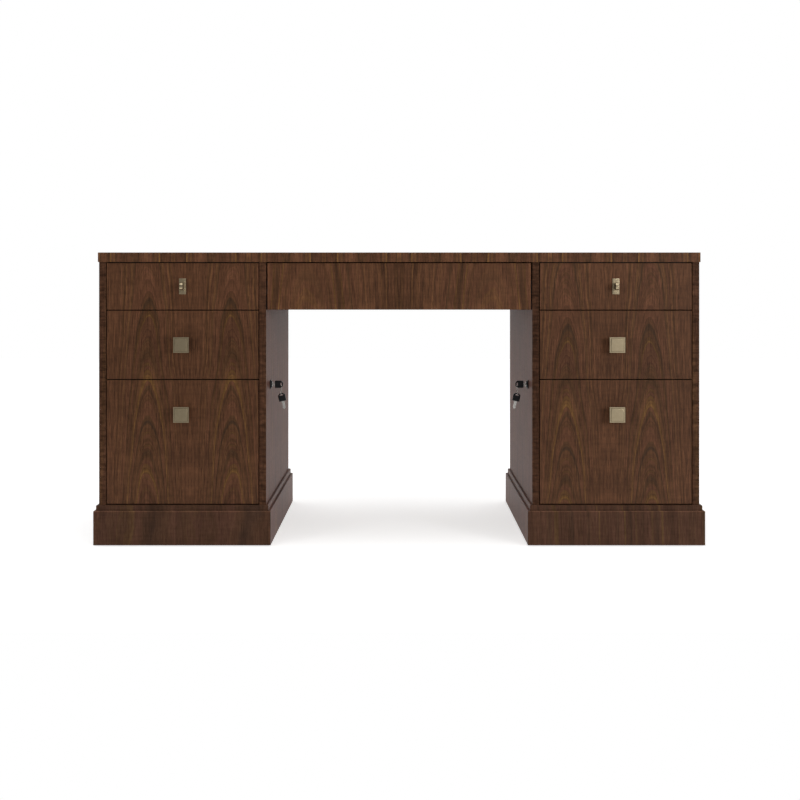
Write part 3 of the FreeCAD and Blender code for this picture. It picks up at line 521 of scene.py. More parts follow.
def panel_finish(walnut):
    """Plain upright walnut on backs, floors and the rear apron."""
    finish = Walnut("walnut_panels", walnut)
    leaf = 133.0
    across = finish.leaves(finish.x, leaf)
    along = finish.plus(finish.z, finish.y)
    rings = finish.rings(across, along, heart=24.0, climb=0.06, wander=13.0, seed=41.0)
    return finish.lacquered(finish.grain(across, along, rings, seed=41.0))


def brass_finish(name, dark, light):
    """Antique brass, brushed and lacquered to a satin."""
    finish = Finish(name)
    brushed = finish.noise(finish.stretched(14.0, 2.0, 0.35), detail=2.0)
    cloud = finish.noise(finish.scaled(finish.place, 1 / 9.0), detail=3.0)
    finish.bump(brushed, depth=0.012, strength=0.2)
    return finish.surface(
        Base_Color=finish.ramp(cloud, ((0.3, dark), (0.7, light))), Metallic=1.0,
        Roughness=finish.span(brushed, 0.2, 0.8, 0.27, 0.34))


def maple_finish(name, axis, stain=1.0):
    """Pale drawer wood with its grain along one axis. A darkening below 1 darkens it, as painted shadow on
    the top rails.
    """
    finish = Finish(name)
    fibre_width, fibre_length, breadth = 1.3, 46.0, 9.0
    lengths = [fibre_length if i == axis else fibre_width for i in range(3)]
    fibre = finish.noise(finish.stretched(*lengths), detail=3.0, roughness=0.6)
    broad = finish.noise(finish.stretched(*(breadth * length for length in lengths)), detail=2.0)
    tone = finish.plus(finish.times(fibre, 0.45), finish.times(broad, 0.55))
    shades = ((0.32, (0.43, 0.285, 0.155)), (0.5, (0.54, 0.385, 0.225)), (0.68, (0.62, 0.465, 0.29)))
    colour = finish.ramp(tone, [(stop, [stain * c for c in shade]) for stop, shade in shades])
    finish.bump(fibre, depth=0.03, strength=0.2)
    return finish.surface(
        Base_Color=colour, Roughness=finish.span(fibre, 0.2, 0.8, 0.46, 0.60), Specular_IOR_Level=0.3)


def steel_finish(name, dark, light, low, high):
    """Plated steel with faint drawing lines, its roughness from low to high."""
    finish = Finish(name)
    drawn = finish.noise(finish.stretched(0.6, 30.0, 0.6), detail=2.0)
    bloom = finish.noise(finish.scaled(finish.place, 1 / 14.0), detail=3.0)
    return finish.surface(
        Base_Color=finish.ramp(bloom, ((0.3, dark), (0.7, light))), Metallic=1.0,
        Roughness=finish.span(drawn, 0.2, 0.8, low, high))


def moulded_finish(name, colour, roughness):
    """Moulded plastic or lacquer with a fine grain."""
    finish = Finish(name)
    lightness, swing = 1.35, 0.06
    speck = finish.noise(finish.scaled(finish.place, 1 / 0.35), detail=2.0)
    light = tuple(lightness * c for c in colour)
    finish.bump(speck, depth=0.02, strength=0.25)
    return finish.surface(
        Base_Color=finish.ramp(speck, ((0.35, colour), (0.7, light))),
        Roughness=finish.span(speck, 0.2, 0.8, roughness - swing, roughness + swing), Specular_IOR_Level=0.22)


def dress(material, *nodes):
    """Gives nodes of the frame a finish, on their objects and not on their meshes."""
    for node in nodes:
        socket = frame["nodes"][node].material_slots[0]
        socket.link = "OBJECT"
        socket.material = material


def paired(*names):
    """The left and the right node of each name."""
    return [f"{side}_{name}" for side in SIDES for name in names]


def select(*pieces):
    """Selects these pieces and nothing else, the first of them active."""
    bpy.ops.object.select_all(action="DESELECT")
    for piece in pieces:
        piece.select_set(True)
    if pieces:
        bpy.context.view_layer.objects.active = pieces[0]


def block(low, high):
    """A box between two corners."""
    low, high = Vector(low), Vector(high)
    select()
    bpy.ops.mesh.primitive_cube_add(size=1.0, location=(low + high) / 2, scale=high - low)
    bpy.ops.object.transform_apply(location=True, rotation=True, scale=True)
    return bpy.context.object


def rod(radius, start, end, vertices=48):
    """A round bar from one point to another."""
    start, end = Vector(start), Vector(end)
    axis = end - start
    select()
    bpy.ops.mesh.primitive_cylinder_add(
        vertices=vertices, radius=radius, depth=axis.length, location=(start + end) / 2,
        rotation=axis.to_track_quat("Z", "Y").to_euler())
    bpy.ops.object.transform_apply(location=True, rotation=True, scale=True)
    return bpy.context.object


class Shaping:
    """Edit mode on one piece, with faces and edges picked by their place."""

    def __init__(self, piece):
        self.piece = piece

    def __enter__(self):
        select(self.piece)
        bpy.ops.object.mode_set(mode="EDIT")
        return self

    def __exit__(self, *_):
        bpy.ops.object.mode_set(mode="OBJECT")

    def faces(self, test):
        """Picks the faces whose middle and normal pass the test."""
        bpy.ops.mesh.select_mode(type="FACE")
        bpy.ops.mesh.select_all(action="DESELECT")
        mesh = bmesh.from_edit_mesh(self.piece.data)
        for face in mesh.faces:
            face.select_set(test(face.calc_center_median(), face.normal))
        mesh.select_flush_mode()
        bmesh.update_edit_mesh(self.piece.data)

    def edges(self, test):
        """Picks the edges whose two ends pass the test."""
        bpy.ops.mesh.select_mode(type="EDGE")
        bpy.ops.mesh.select_all(action="DESELECT")
        mesh = bmesh.from_edit_mesh(self.piece.data)
        for edge in mesh.edges:
            edge.select_set(test(edge.verts[0].co, edge.verts[1].co))
        bmesh.update_edit_mesh(self.piece.data)

    def edges_at(self, axis, value, within=None):
        """Picks the edges that lie in a plane across an axis, and within a box where one is given."""
        def lies(*ends):
            flat = all(abs(end[axis] - value) < NEAR for end in ends)
            return flat and (within is None or all(within(end) for end in ends))
        self.edges(lies)

    def edges_along(self, axis, within=None):
        """Picks the straight edges that run along an axis."""
        def runs(a, b):
            direction = (b - a).normalized()
            return abs(direction[axis]) > 0.999 and (within is None or (within(a) and within(b)))
        self.edges(runs)

    def bevel(self, width, segments=2):
        bpy.ops.mesh.bevel(offset=width, segments=segments, affect="EDGES", clamp_overlap=True)

    def inset(self, width):
        bpy.ops.mesh.inset(thickness=width)

    def extrude(self, *way):
        bpy.ops.mesh.extrude_region_move(TRANSFORM_OT_translate={"value": way})

    def resize(self, x, y, z, centre):
        bpy.ops.transform.resize(value=(x, y, z), center_override=centre)

    def paint(self, common, special):
        """One finish all over and another on the picked faces."""
        for material in (common, special):
            self.piece.data.materials.append(material)
        self.piece.active_material_index = 1
        bpy.ops.object.material_slot_assign()

    def tidy(self):
        """Merges doubles and turns every face outwards."""
        bpy.ops.mesh.select_all(action="SELECT")
        bpy.ops.mesh.remove_doubles(threshold=NEAR)
        bpy.ops.mesh.normals_make_consistent(inside=False)


def apply_modifier(piece, kind, **settings):
    bpy.context.view_layer.objects.active = piece
    modifier = piece.modifiers.new(kind.lower(), kind)
    for name, value in settings.items():
        setattr(modifier, name, value)
    bpy.ops.object.modifier_apply(modifier=modifier.name)


def cut(piece, *cutters):
    """Takes the cutters out of a piece and throws them away."""
    for cutter in cutters:
        apply_modifier(piece, "BOOLEAN", operation="DIFFERENCE", object=cutter, solver="EXACT")
        bpy.data.objects.remove(cutter)
    return piece


def joined(*pieces):
    """Several pieces as the loose shells of one."""
    select(*pieces)
    bpy.ops.object.join()
    return pieces[0]


def copied(piece, matrix=None):
    """A copy with its own mesh, moved by a matrix."""
    copy = piece.copy()
    copy.data = piece.data.copy()
    bpy.context.scene.collection.objects.link(copy)
    if matrix is not None:
        copy.data.transform(matrix)
        if matrix.is_negative:
            with Shaping(copy):
                bpy.ops.mesh.select_all(action="SELECT")
                bpy.ops.mesh.normals_make_consistent(inside=False)
    return copy


def painted(piece, material):
    """Gives every face of a piece one finish."""
    piece.data.materials.clear()
    piece.data.materials.append(material)
    return piece


def fitted(piece, name, node, slot, smooth=30.0, added=False):
    """Names a finished piece, which rides with a node and stands for it unless it is added to it."""
    piece.name = name
    piece.data.name = name
    select(piece)
    bpy.ops.object.shade_smooth_by_angle(angle=math.radians(smooth))
    if not added:
        apply_modifier(piece, "WEIGHTED_NORMAL", keep_sharp=True)
    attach(piece, frame["nodes"][node]["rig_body"])
    if not added:
        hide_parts(node)


def fitted_pair(piece, name, node, slot, **settings):
    """The right piece and its mirrored twin on the left."""
    twin = copied(piece, MIRROR)
    fitted(piece, f"right_{name}", f"right_{node}", slot, **settings)
    fitted(twin, f"left_{name}", f"left_{node}", slot, **settings)


class DESK_OT_stage(bpy.types.Operator):
    """Sets the camera, the pale floor and the soft lamps"""

    bl_idname = "desk.stage"
    bl_label = "Stage"

    def execute(self, context):
        stage = context.scene.desk_stage
        context.scene.view_settings.view_transform = "Standard"
        self.camera(context, stage)
        self.floor(stage)
        self.world(context)
        self.lamp("key_lamp", place=(2.7, -3.5, 1.0), size=1.4, power=stage.key_power)
        fill = self.lamp("fill_lamp", place=(-2.8, -3.6, 1.0), size=1.6, power=stage.fill_power)
        fill.visible_glossy = False
        self.lamp("top_lamp", place=(0.0, -0.9, 3.4), size=3.0, power=stage.top_power)
        return {"FINISHED"}

    def camera(self, context, stage):
        bpy.ops.object.camera_add(location=stage.eye, rotation=(math.pi / 2, 0, 0))
        camera = context.object
        camera.name = "photo_camera"
        camera.data.lens = stage.lens
        camera.data.shift_x = stage.frame_slide
        camera.data.shift_y = stage.frame_rise
        context.scene.camera = camera

    def floor(self, stage):
        """Pale floor that keeps the desk's shadow and adds white where a camera or a mirror sees it."""
        width, depth, setback = 20.0, 10.8, 4.1
        bpy.ops.mesh.primitive_plane_add(size=1.0)
        floor = bpy.context.object
        floor.name = "studio_floor"
        bpy.ops.transform.resize(value=(width, depth, 1.0), center_override=(0.0, 0.0, 0.0))
        bpy.ops.transform.translate(value=(0.0, setback, 0.0))
        bpy.ops.object.transform_apply(location=True, rotation=False, scale=True)
        material = bpy.data.materials.new("pale_floor")
        material.use_nodes = True
        tree = Nodes(material.node_tree)
        tree.nodes.clear()
        paint = tree.add("ShaderNodeBsdfDiffuse")
        tree.put(paint.inputs["Color"], (*stage.floor_colour, 1.0))
        path = tree.add("ShaderNodeLightPath").outputs
        seen = tree.largest(path["Is Camera Ray"], path["Is Glossy Ray"], path["Is Transmission Ray"])
        glow = tree.add("ShaderNodeEmission")
        tree.put(glow.inputs["Strength"], tree.times(seen, stage.floor_lift))
        both = tree.add("ShaderNodeAddShader")
        tree.fill(both.inputs, paint.outputs[0], glow.outputs[0])
        tree.put(tree.add("ShaderNodeOutputMaterial").inputs["Surface"], both.outputs[0])
        floor.data.materials.append(material)

    def world(self, context):
        """White for the camera, a studio that is dimmer behind the camera for mirrors and for the light."""
        world = bpy.data.worlds.new("white_studio")
        world.use_nodes = True
        context.scene.world = world
        tree = Nodes(world.node_tree)
        sideways, depth, _ = tree.parts(tree.add("ShaderNodeTexCoord").outputs["Generated"])
        dim = tree.span(sideways, start=-0.3, end=0.3, low=0.21, high=0.72)
        mirrored = tree.fade(depth, start=-0.6, end=0.2, low=dim, high=1.0)
        light = tree.fade(depth, start=-0.5, end=0.5, low=0.30, high=1.0)
        path = tree.add("ShaderNodeLightPath").outputs
        lit = tree.add("ShaderNodeMix")
        for name, value in (("Factor", path["Is Glossy Ray"]), ("A", light), ("B", mirrored)):
            tree.put(lit.inputs[name], value)
        level = tree.largest(lit.outputs[0], path["Is Camera Ray"], path["Is Transmission Ray"])
        background = tree.nodes["Background"]
        tree.put(background.inputs["Strength"], level)
        tree.put(background.inputs["Color"], (1.0, 1.0, 1.0, 1.0))

    def lamp(self, name, place, size, power):
        target = Vector((0.0, -0.2, 0.4))
        bpy.ops.object.light_add(type="AREA", location=place)
        lamp = bpy.context.object
        lamp.name = name
        lamp.data.shape = "DISK"
        lamp.data.size = size
        lamp.data.energy = power
        lamp.rotation_euler = (target - lamp.location).to_track_quat("-Z", "Y").to_euler()
        return lamp


class DESK_OT_veneer(bpy.types.Operator):
    """Veneers the boards of the frame in walnut"""

    bl_idname = "desk.veneer"
    bl_label = "Walnut veneer"

    def execute(self, context):
        walnut = context.scene.desk_walnut
        dress(pedestal_front_finish(walnut), *paired(*(f"{drawer}_front" for drawer in DRAWERS)))
        dress(centre_front_finish(walnut), "centre_front")
        dress(top_finish(walnut), "desk_top")
        dress(side_finish(walnut), *paired("outer_side", "inner_side"))
        dress(plinth_finish(walnut), *paired("plinth", "plinth_moulding"))
        dress(panel_finish(walnut), "rear_apron", *paired("back_panel", "bottom_panel"))
        return {"FINISHED"}


class DESK_OT_knobs(bpy.types.Operator):
    """Models the square stepped knobs of the middle and file drawers"""

    bl_idname = "desk.knobs"
    bl_label = "Square knobs"

    def execute(self, context):
        pulls = context.scene.desk_pulls
        for drawer in ("middle", "file"):
            low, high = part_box(f"right_{drawer}_knob")
            # The stem is dark as painted shade behind the head.
            stem = painted(self.stem(pulls, low, high), finishes["patina"])
            knob = joined(self.head(pulls, low, high), stem)
            fitted_pair(knob, f"{drawer}_knob_cast", f"{drawer}_knob", "antique_brass")
            screw = painted(pull_screw(pulls, low, high), finishes["screw"])
            fitted_pair(screw, f"{drawer}_knob_screw", f"{drawer}_knob", "screw_steel")
        return {"FINISHED"}

    def head(self, pulls, low, high):
        front = low.y
        shoulder = front + pulls.rise
        back = shoulder + pulls.head
        head = block((low.x, shoulder, low.z), (high.x, back, high.z))
        half = (high.x - low.x) / 2
        middle = (low + high) / 2
        corner, arris, brow = 0.5 * MM, 0.6 * MM, 0.9 * MM
        corner_margin, groove_margin, groove_skin = 0.8 * MM, 1.5 * MM, 0.05 * MM

        def outwards(point):
            """Half the side of the square round the knob's middle that the point lies on."""
            return max(abs(point.x - middle.x), abs(point.z - middle.z))

        with Shaping(head) as shape:
            shape.faces(lambda place, normal: normal.y < -0.9)
            shape.inset(pulls.rim - pulls.groove)
            shape.extrude(0, pulls.groove / 2, 0)
            shape.inset(pulls.groove)
            shape.extrude(0, -pulls.rise - pulls.groove / 2, 0)
            shape.edges_along(1, lambda point: outwards(point) > half - NEAR)
            shape.bevel(corner)
            shape.edges_at(1, shoulder, lambda point: outwards(point) > half - corner_margin)
            shape.bevel(brow, 3)
            shape.edges_at(1, back)
            shape.bevel(arris)
            shape.edges_at(1, front)
            shape.bevel(arris, 3)
            shape.tidy()
            # The groove gets patina; the sides and back of the head get it too, as painted shade beside the
            # knob.
            shape.faces(lambda place, normal: normal.y > -0.2 or (
                shoulder + groove_skin < place.y < shoulder + 0.6 * pulls.groove
                and outwards(place) < half - groove_margin))
            shape.paint(finishes["brass"], finishes["patina"])
        return head

    def stem(self, pulls, low, high):
        x, z = (low.x + high.x) / 2, (low.z + high.z) / 2
        start = low.y + pulls.rise + pulls.head
        face = FRONT_FACE * MM
        foot = face - pulls.foot_height
        neck = foot - (pulls.foot - pulls.stem)
        stem = rod(pulls.stem, (x, start, z), (x, neck, z))
        wide = pulls.foot / pulls.stem
        foot_round, neck_round = 0.5 * MM, 1.2 * MM
        with Shaping(stem) as shape:
            shape.faces(lambda place, normal: normal.y > 0.9)
            shape.extrude(0, foot - neck, 0)
            shape.resize(wide, 1, wide, (x, foot, z))
            shape.extrude(0, face - foot, 0)
            shape.edges_at(1, foot)
            shape.bevel(foot_round)
            shape.edges_at(1, neck)
            shape.bevel(neck_round, 4)
        return stem


def cross_slot(middle, reach, depth, width, normal):
    """Cutter for a cross recess that opens along one of the axes."""
    taper = 0.45
    arms = []
    axis = max(range(3), key=lambda i: abs(normal[i]))
    sides = [i for i in range(3) if i != axis]
    for i, j in (sides, reversed(sides)):
        half = Vector((depth, depth, depth))
        half[i] = reach
        half[j] = width / 2
        arms.append(block(middle - half, middle + half))
    for arm in arms:
        with Shaping(arm) as shape:
            shape.faces(lambda place, facing: facing.dot(normal) < -0.9)
            shape.resize(*(1.0 if k == axis else taper for k in range(3)), middle - depth * normal)
    return arms


def pull_screw(pulls, low, high):
    """Pan-head screw from inside the drawer into a pull."""
    x, z = (low.x + high.x) / 2, (low.z + high.z) / 2
    tip, seat = FRONT_FACE * MM - pulls.screw_bite, high.y - pulls.screw_rise
    tip_round, head_round = 0.6 * MM, 1.1 * MM
    shank = rod(pulls.screw, (x, tip, z), (x, seat, z), 24)
    with Shaping(shank) as shape:
        shape.edges_at(1, tip)
        shape.bevel(tip_round)
        shape.faces(lambda place, normal: normal.y > 0.9)
        wide = pulls.screw_head / pulls.screw
        shape.extrude(0, 0, 0)
        shape.resize(wide, 1, wide, (x, seat, z))
        shape.extrude(0, pulls.screw_rise, 0)
        shape.edges_at(1, high.y)
        shape.bevel(head_round, 4)
    slots = cross_slot(
        Vector((x, high.y, z)), reach=2.3 * MM, depth=1.5 * MM, width=0.9 * MM, normal=Vector((0, 1, 0)))
    return cut(shank, *slots)


class DESK_OT_tab_pulls(bpy.types.Operator):
    """Models the finger tabs on stepped plates of the top drawers"""

    bl_idname = "desk.tab_pulls"
    bl_label = "Tab pulls"

    def execute(self, context):
        pulls = context.scene.desk_pulls
        low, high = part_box("right_top_pull")
        pull = joined(self.tab(pulls, low, high), painted(self.plate(pulls, low, high), finishes["brass"]))
        fitted_pair(pull, "top_pull_cast", "top_pull", "antique_brass")
        screw = painted(pull_screw(pulls, low, high), finishes["screw"])
        fitted_pair(screw, "top_pull_screw", "top_pull", "screw_steel")
        return {"FINISHED"}

    def plate(self, pulls, low, high):
        face = FRONT_FACE * MM
        step = face - pulls.plate
        arris = 0.5 * MM
        plate = block((low.x, step, low.z), (high.x, face, high.z))
        with Shaping(plate) as shape:
            shape.faces(lambda place, normal: normal.y < -0.9)
            shape.inset(pulls.plate_rim)
            shape.extrude(0, -pulls.plate_rise, 0)
            shape.edges(lambda a, b: self.outer(a, b, step, low, high))
            shape.bevel(arris, 3)
            shape.edges_at(1, step - pulls.plate_rise)
            shape.bevel(arris, 3)
        return plate

    def outer(self, a, b, step, low, high):
        """An edge of the plate's front rim."""
        def rim(point):
            across = min(point.x - low.x, high.x - point.x)
            upright = min(point.z - low.z, high.z - point.z)
            return abs(point.y - step) < NEAR and min(across, upright) < NEAR
        return rim(a) and rim(b)

    def tab(self, pulls, low, high):
        middle = (low + high) / 2
        root = FRONT_FACE * MM - pulls.plate - pulls.plate_rise
        half, tall = pulls.tab / 2, pulls.tab_height / 2
        nose, side_round = 0.98, 1.1 * MM
        tab = block((middle.x - half, low.y, middle.z - tall), (middle.x + half, root, middle.z + tall))
        with Shaping(tab) as shape:
            shape.edges(lambda a, b: max(a.y, b.y) < low.y + NEAR and abs(a.z - b.z) < NEAR)
            shape.bevel(nose * tall, 14)
            shape.faces(lambda place, normal: normal.y > 0.9)
            shape.resize(1, 1, pulls.tab_neck / pulls.tab_height, (middle.x, root, middle.z))
            shape.edges(lambda a, b: abs(a.x - b.x) < NEAR and min(a.y, b.y) < root - NEAR
                        and abs(abs(a.x - middle.x) - half) < NEAR)
            shape.bevel(side_round, 3)
            # The flat sides of the tab are dark as painted shade and reflection.
            shape.faces(lambda place, normal: abs(normal.x) > 0.99)
            shape.paint(finishes["brass"], finishes["patina"])
        return tab


class DESK_OT_locks(bpy.types.Operator):
    """Models the lock roses, their turning plugs and cams"""

    bl_idname = "desk.locks"
    bl_label = "Locks"

    def execute(self, context):
        locks = context.scene.desk_locks
        low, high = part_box("right_lock_housing")
        centre = (low + high) / 2
        housing = painted(self.housing(locks, low, high, centre), finishes["lacquer"])
        fitted_pair(housing, "lock_rose", "lock_housing", "lock_black")
        plug = painted(self.plug(locks, low, centre), finishes["nickel"])
        fitted_pair(plug, "lock_core", "lock_plug", "lock_nickel")
        return {"FINISHED"}

    def housing(self, locks, low, high, centre):
        knee = low.x + locks.projection
        rose_face = knee - locks.rose
        radius = (high.z - low.z) / 2
        rose_round, nose_round, play = 0.8 * MM, 1.0 * MM, 0.05 * MM
        at = Vector((0.0, centre.y, centre.z))
        housing = rod(radius, at + Vector((rose_face, 0, 0)), at + Vector((knee, 0, 0)), 64)
        with Shaping(housing) as shape:
            shape.faces(lambda place, normal: normal.x < -0.9)
            shape.inset(radius - locks.nose)
            shape.extrude(low.x - rose_face, 0, 0)
            shape.faces(lambda place, normal: normal.x > 0.9)
            shape.inset(radius - locks.body)
            shape.extrude(high.x - knee, 0, 0)
            shape.edges_at(0, rose_face)
            shape.bevel(rose_round, 3)
            shape.edges_at(0, low.x)
            shape.bevel(nose_round, 3)
        bore = rod(locks.plug + play, at + Vector((low.x - MM, 0, 0)), at + Vector((high.x + MM, 0, 0)), 64)
        return cut(housing, bore)

    def plug(self, locks, low, centre):
        plug_low, plug_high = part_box("right_lock_plug")
        tail = plug_high.x
        bar_play, key_play = 0.3 * MM, 0.2 * MM
        end_round, cam_round = 0.4 * MM, 0.3 * MM
        cam_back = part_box("right_lock_bar")[0].x - bar_play
        at = Vector((0.0, centre.y, centre.z))
        core = rod(locks.plug, at + Vector((low.x, 0, 0)), at + Vector((cam_back - locks.cam, 0, 0)))
        cam_radius = (plug_high.z - plug_low.z) / 2
        with Shaping(core) as shape:
            shape.edges_at(0, low.x)
            shape.bevel(end_round)
            shape.faces(lambda place, normal: normal.x > 0.9)
            shape.extrude(0, 0, 0)
            wide = cam_radius / locks.plug
            shape.resize(1, wide, wide, at + Vector((cam_back - locks.cam, 0, 0)))
            shape.extrude(locks.cam, 0, 0)
            shape.edges_at(0, cam_back)
            shape.bevel(cam_round)
        keyway = Vector((
            locks.insertion, locks.blade_thickness / 2 + key_play, locks.blade_height / 2 + key_play))
        mouth = at + Vector((low.x, 0, 0))
        core = cut(core, block(mouth - keyway, mouth + keyway))
        lean = math.radians(45.0)
        pin_at = at + locks.orbit * Vector((0, math.cos(lean), -math.sin(lean)))
        pin = rod(locks.pin, pin_at + Vector((cam_back, 0, 0)), pin_at + Vector((tail, 0, 0)), 24)
        with Shaping(pin) as shape:
            shape.edges_at(0, tail)
            shape.bevel(end_round)
        return joined(core, pin)


class DESK_OT_keys(bpy.types.Operator):
    """Models the keys, the split rings and the spare keys"""

    bl_idname = "desk.keys"
    bl_label = "Keys"

    def execute(self, context):
        locks = context.scene.desk_locks
        low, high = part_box("right_key")
        tip = Vector((high.x, (low.y + high.y) / 2, (low.z + high.z) / 2))
        bow, blade = self.bow(locks), self.blade(locks)
        painted(bow, finishes["plastic"])
        painted(blade, finishes["nickel"])
        turned = Matrix.Translation(tip) @ Matrix.Rotation(math.pi, 4, "Z")
        slot_middle = locks.blade + locks.bow - locks.slot_inset - locks.slot_width / 2
        ring_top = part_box("right_spare_key")[1].z
        centre = Vector((tip.x - slot_middle, tip.y, ring_top - locks.ring - locks.wire))
        inner = locks.ring - locks.wire
        hang = centre + Vector((0, 0, locks.slot_inset / 2 + locks.hang_play - inner))
        reach = Matrix.Translation((locks.slot_inset / 2 - locks.blade - locks.bow, 0, 0))
        hung = Matrix.Translation(hang) @ Matrix.Rotation(-math.pi / 2 + locks.tilt, 4, "Y") @ reach
        for matrix, node in ((turned, "key"), (hung, "spare_key")):
            fitted_pair(copied(bow, matrix), f"{node}_bow", node, "key_black")
            fitted_pair(copied(blade, matrix), f"{node}_blade", node, "lock_nickel")
        ring = painted(self.ring(locks, centre), finishes["nickel"])
        fitted_pair(ring, "key_ring", "spare_key", "lock_nickel", smooth=60.0)
        for pattern in (bow, blade):
            bpy.data.objects.remove(pattern)
        return {"FINISHED"}

    def bow(self, locks):
        """Moulded bow along +X from the end of the blade, its outer corners cut off."""
        start, end = locks.blade, locks.blade + locks.bow
        half, tall = locks.bow_thickness / 2, locks.bow_height / 2
        cut_corner, round_corner, edge_round = 5.2 * MM, 2.2 * MM, 1.1 * MM
        panel_rim, panel_depth = 0.9 * MM, 0.35 * MM
        bow = block((start, -half, -tall), (end, half, tall))
        with Shaping(bow) as shape:
            shape.edges_along(1, lambda point: point.x > end - NEAR)
            shape.bevel(cut_corner, 1)
            shape.edges_along(1, lambda point: point.x < start + NEAR)
            shape.bevel(round_corner, 3)
            for way in (-1, 1):
                shape.edges_at(1, way * half)
                shape.bevel(edge_round, 3)
            for way in (-1, 1):
                shape.faces(lambda place, normal: way * normal.y > 0.99)
                shape.inset(panel_rim)
                shape.extrude(0, -way * panel_depth, 0)
        slot_end = end - locks.slot_inset
        slot = block(
            (slot_end - locks.slot_width, -2 * half, -locks.slot / 2), (slot_end, 2 * half, locks.slot / 2))
        with Shaping(slot) as shape:
            shape.edges_along(1)
            shape.bevel(0.48 * locks.slot_width, 6)
        return cut(bow, slot)

    def blade(self, locks):
        """Milled blade with its bitting, along +X from the tip."""
        seat, tip_slope = 5.0 * MM, 2.4 * MM
        first_notch, notch_step, notch_depths = 4.6, 3.1, (0.9, 1.6, 0.6, 1.3)
        half, tall = locks.blade_thickness / 2, locks.blade_height / 2
        groove_floor, groove_low, groove_high = 0.62, -0.1, 0.32
        groove_end = locks.blade - 2.0 * MM
        end = locks.blade + seat
        blade = block((0, -half, -tall), (end, half, tall))
        with Shaping(blade) as shape:
            shape.edges_along(1, lambda point: point.x < NEAR)
            shape.bevel(tip_slope, 1)
        cutters = []
        for i, depth in enumerate(notch_depths):
            place = Vector(((first_notch + notch_step * i) * MM, 0, -tall))
            size = Vector((1.0, 2.0, 1.0)) * depth * MM
            notch = block(-size, size)
            notch.data.transform(Matrix.Translation(place) @ Matrix.Rotation(math.radians(45.0), 4, "Y"))
            cutters.append(notch)
        for way in (-1, 1):
            near, far = sorted((way * half * groove_floor, way * half * 2))
            cutters.append(block((-MM, near, groove_low * tall), (groove_end, far, groove_high * tall)))
        return cut(blade, *cutters)

    def ring(self, locks, centre):
        """Split ring: two flattened coils side by side."""
        flatness = 0.46
        coils = []
        for way in (-1, 1):
            middle = centre + Vector((way * locks.wire / 2, 0, 0))
            select()
            bpy.ops.mesh.primitive_torus_add(
                location=middle, rotation=(0, math.pi / 2, 0),
                major_radius=locks.ring, minor_radius=locks.wire, major_segments=72, minor_segments=12)
            coil = bpy.context.object
            bpy.ops.object.transform_apply(location=True, rotation=True, scale=True)
            with Shaping(coil) as shape:
                bpy.ops.mesh.select_all(action="SELECT")
                shape.resize(flatness, 1, 1, middle)
            coils.append(coil)
        return joined(*coils)


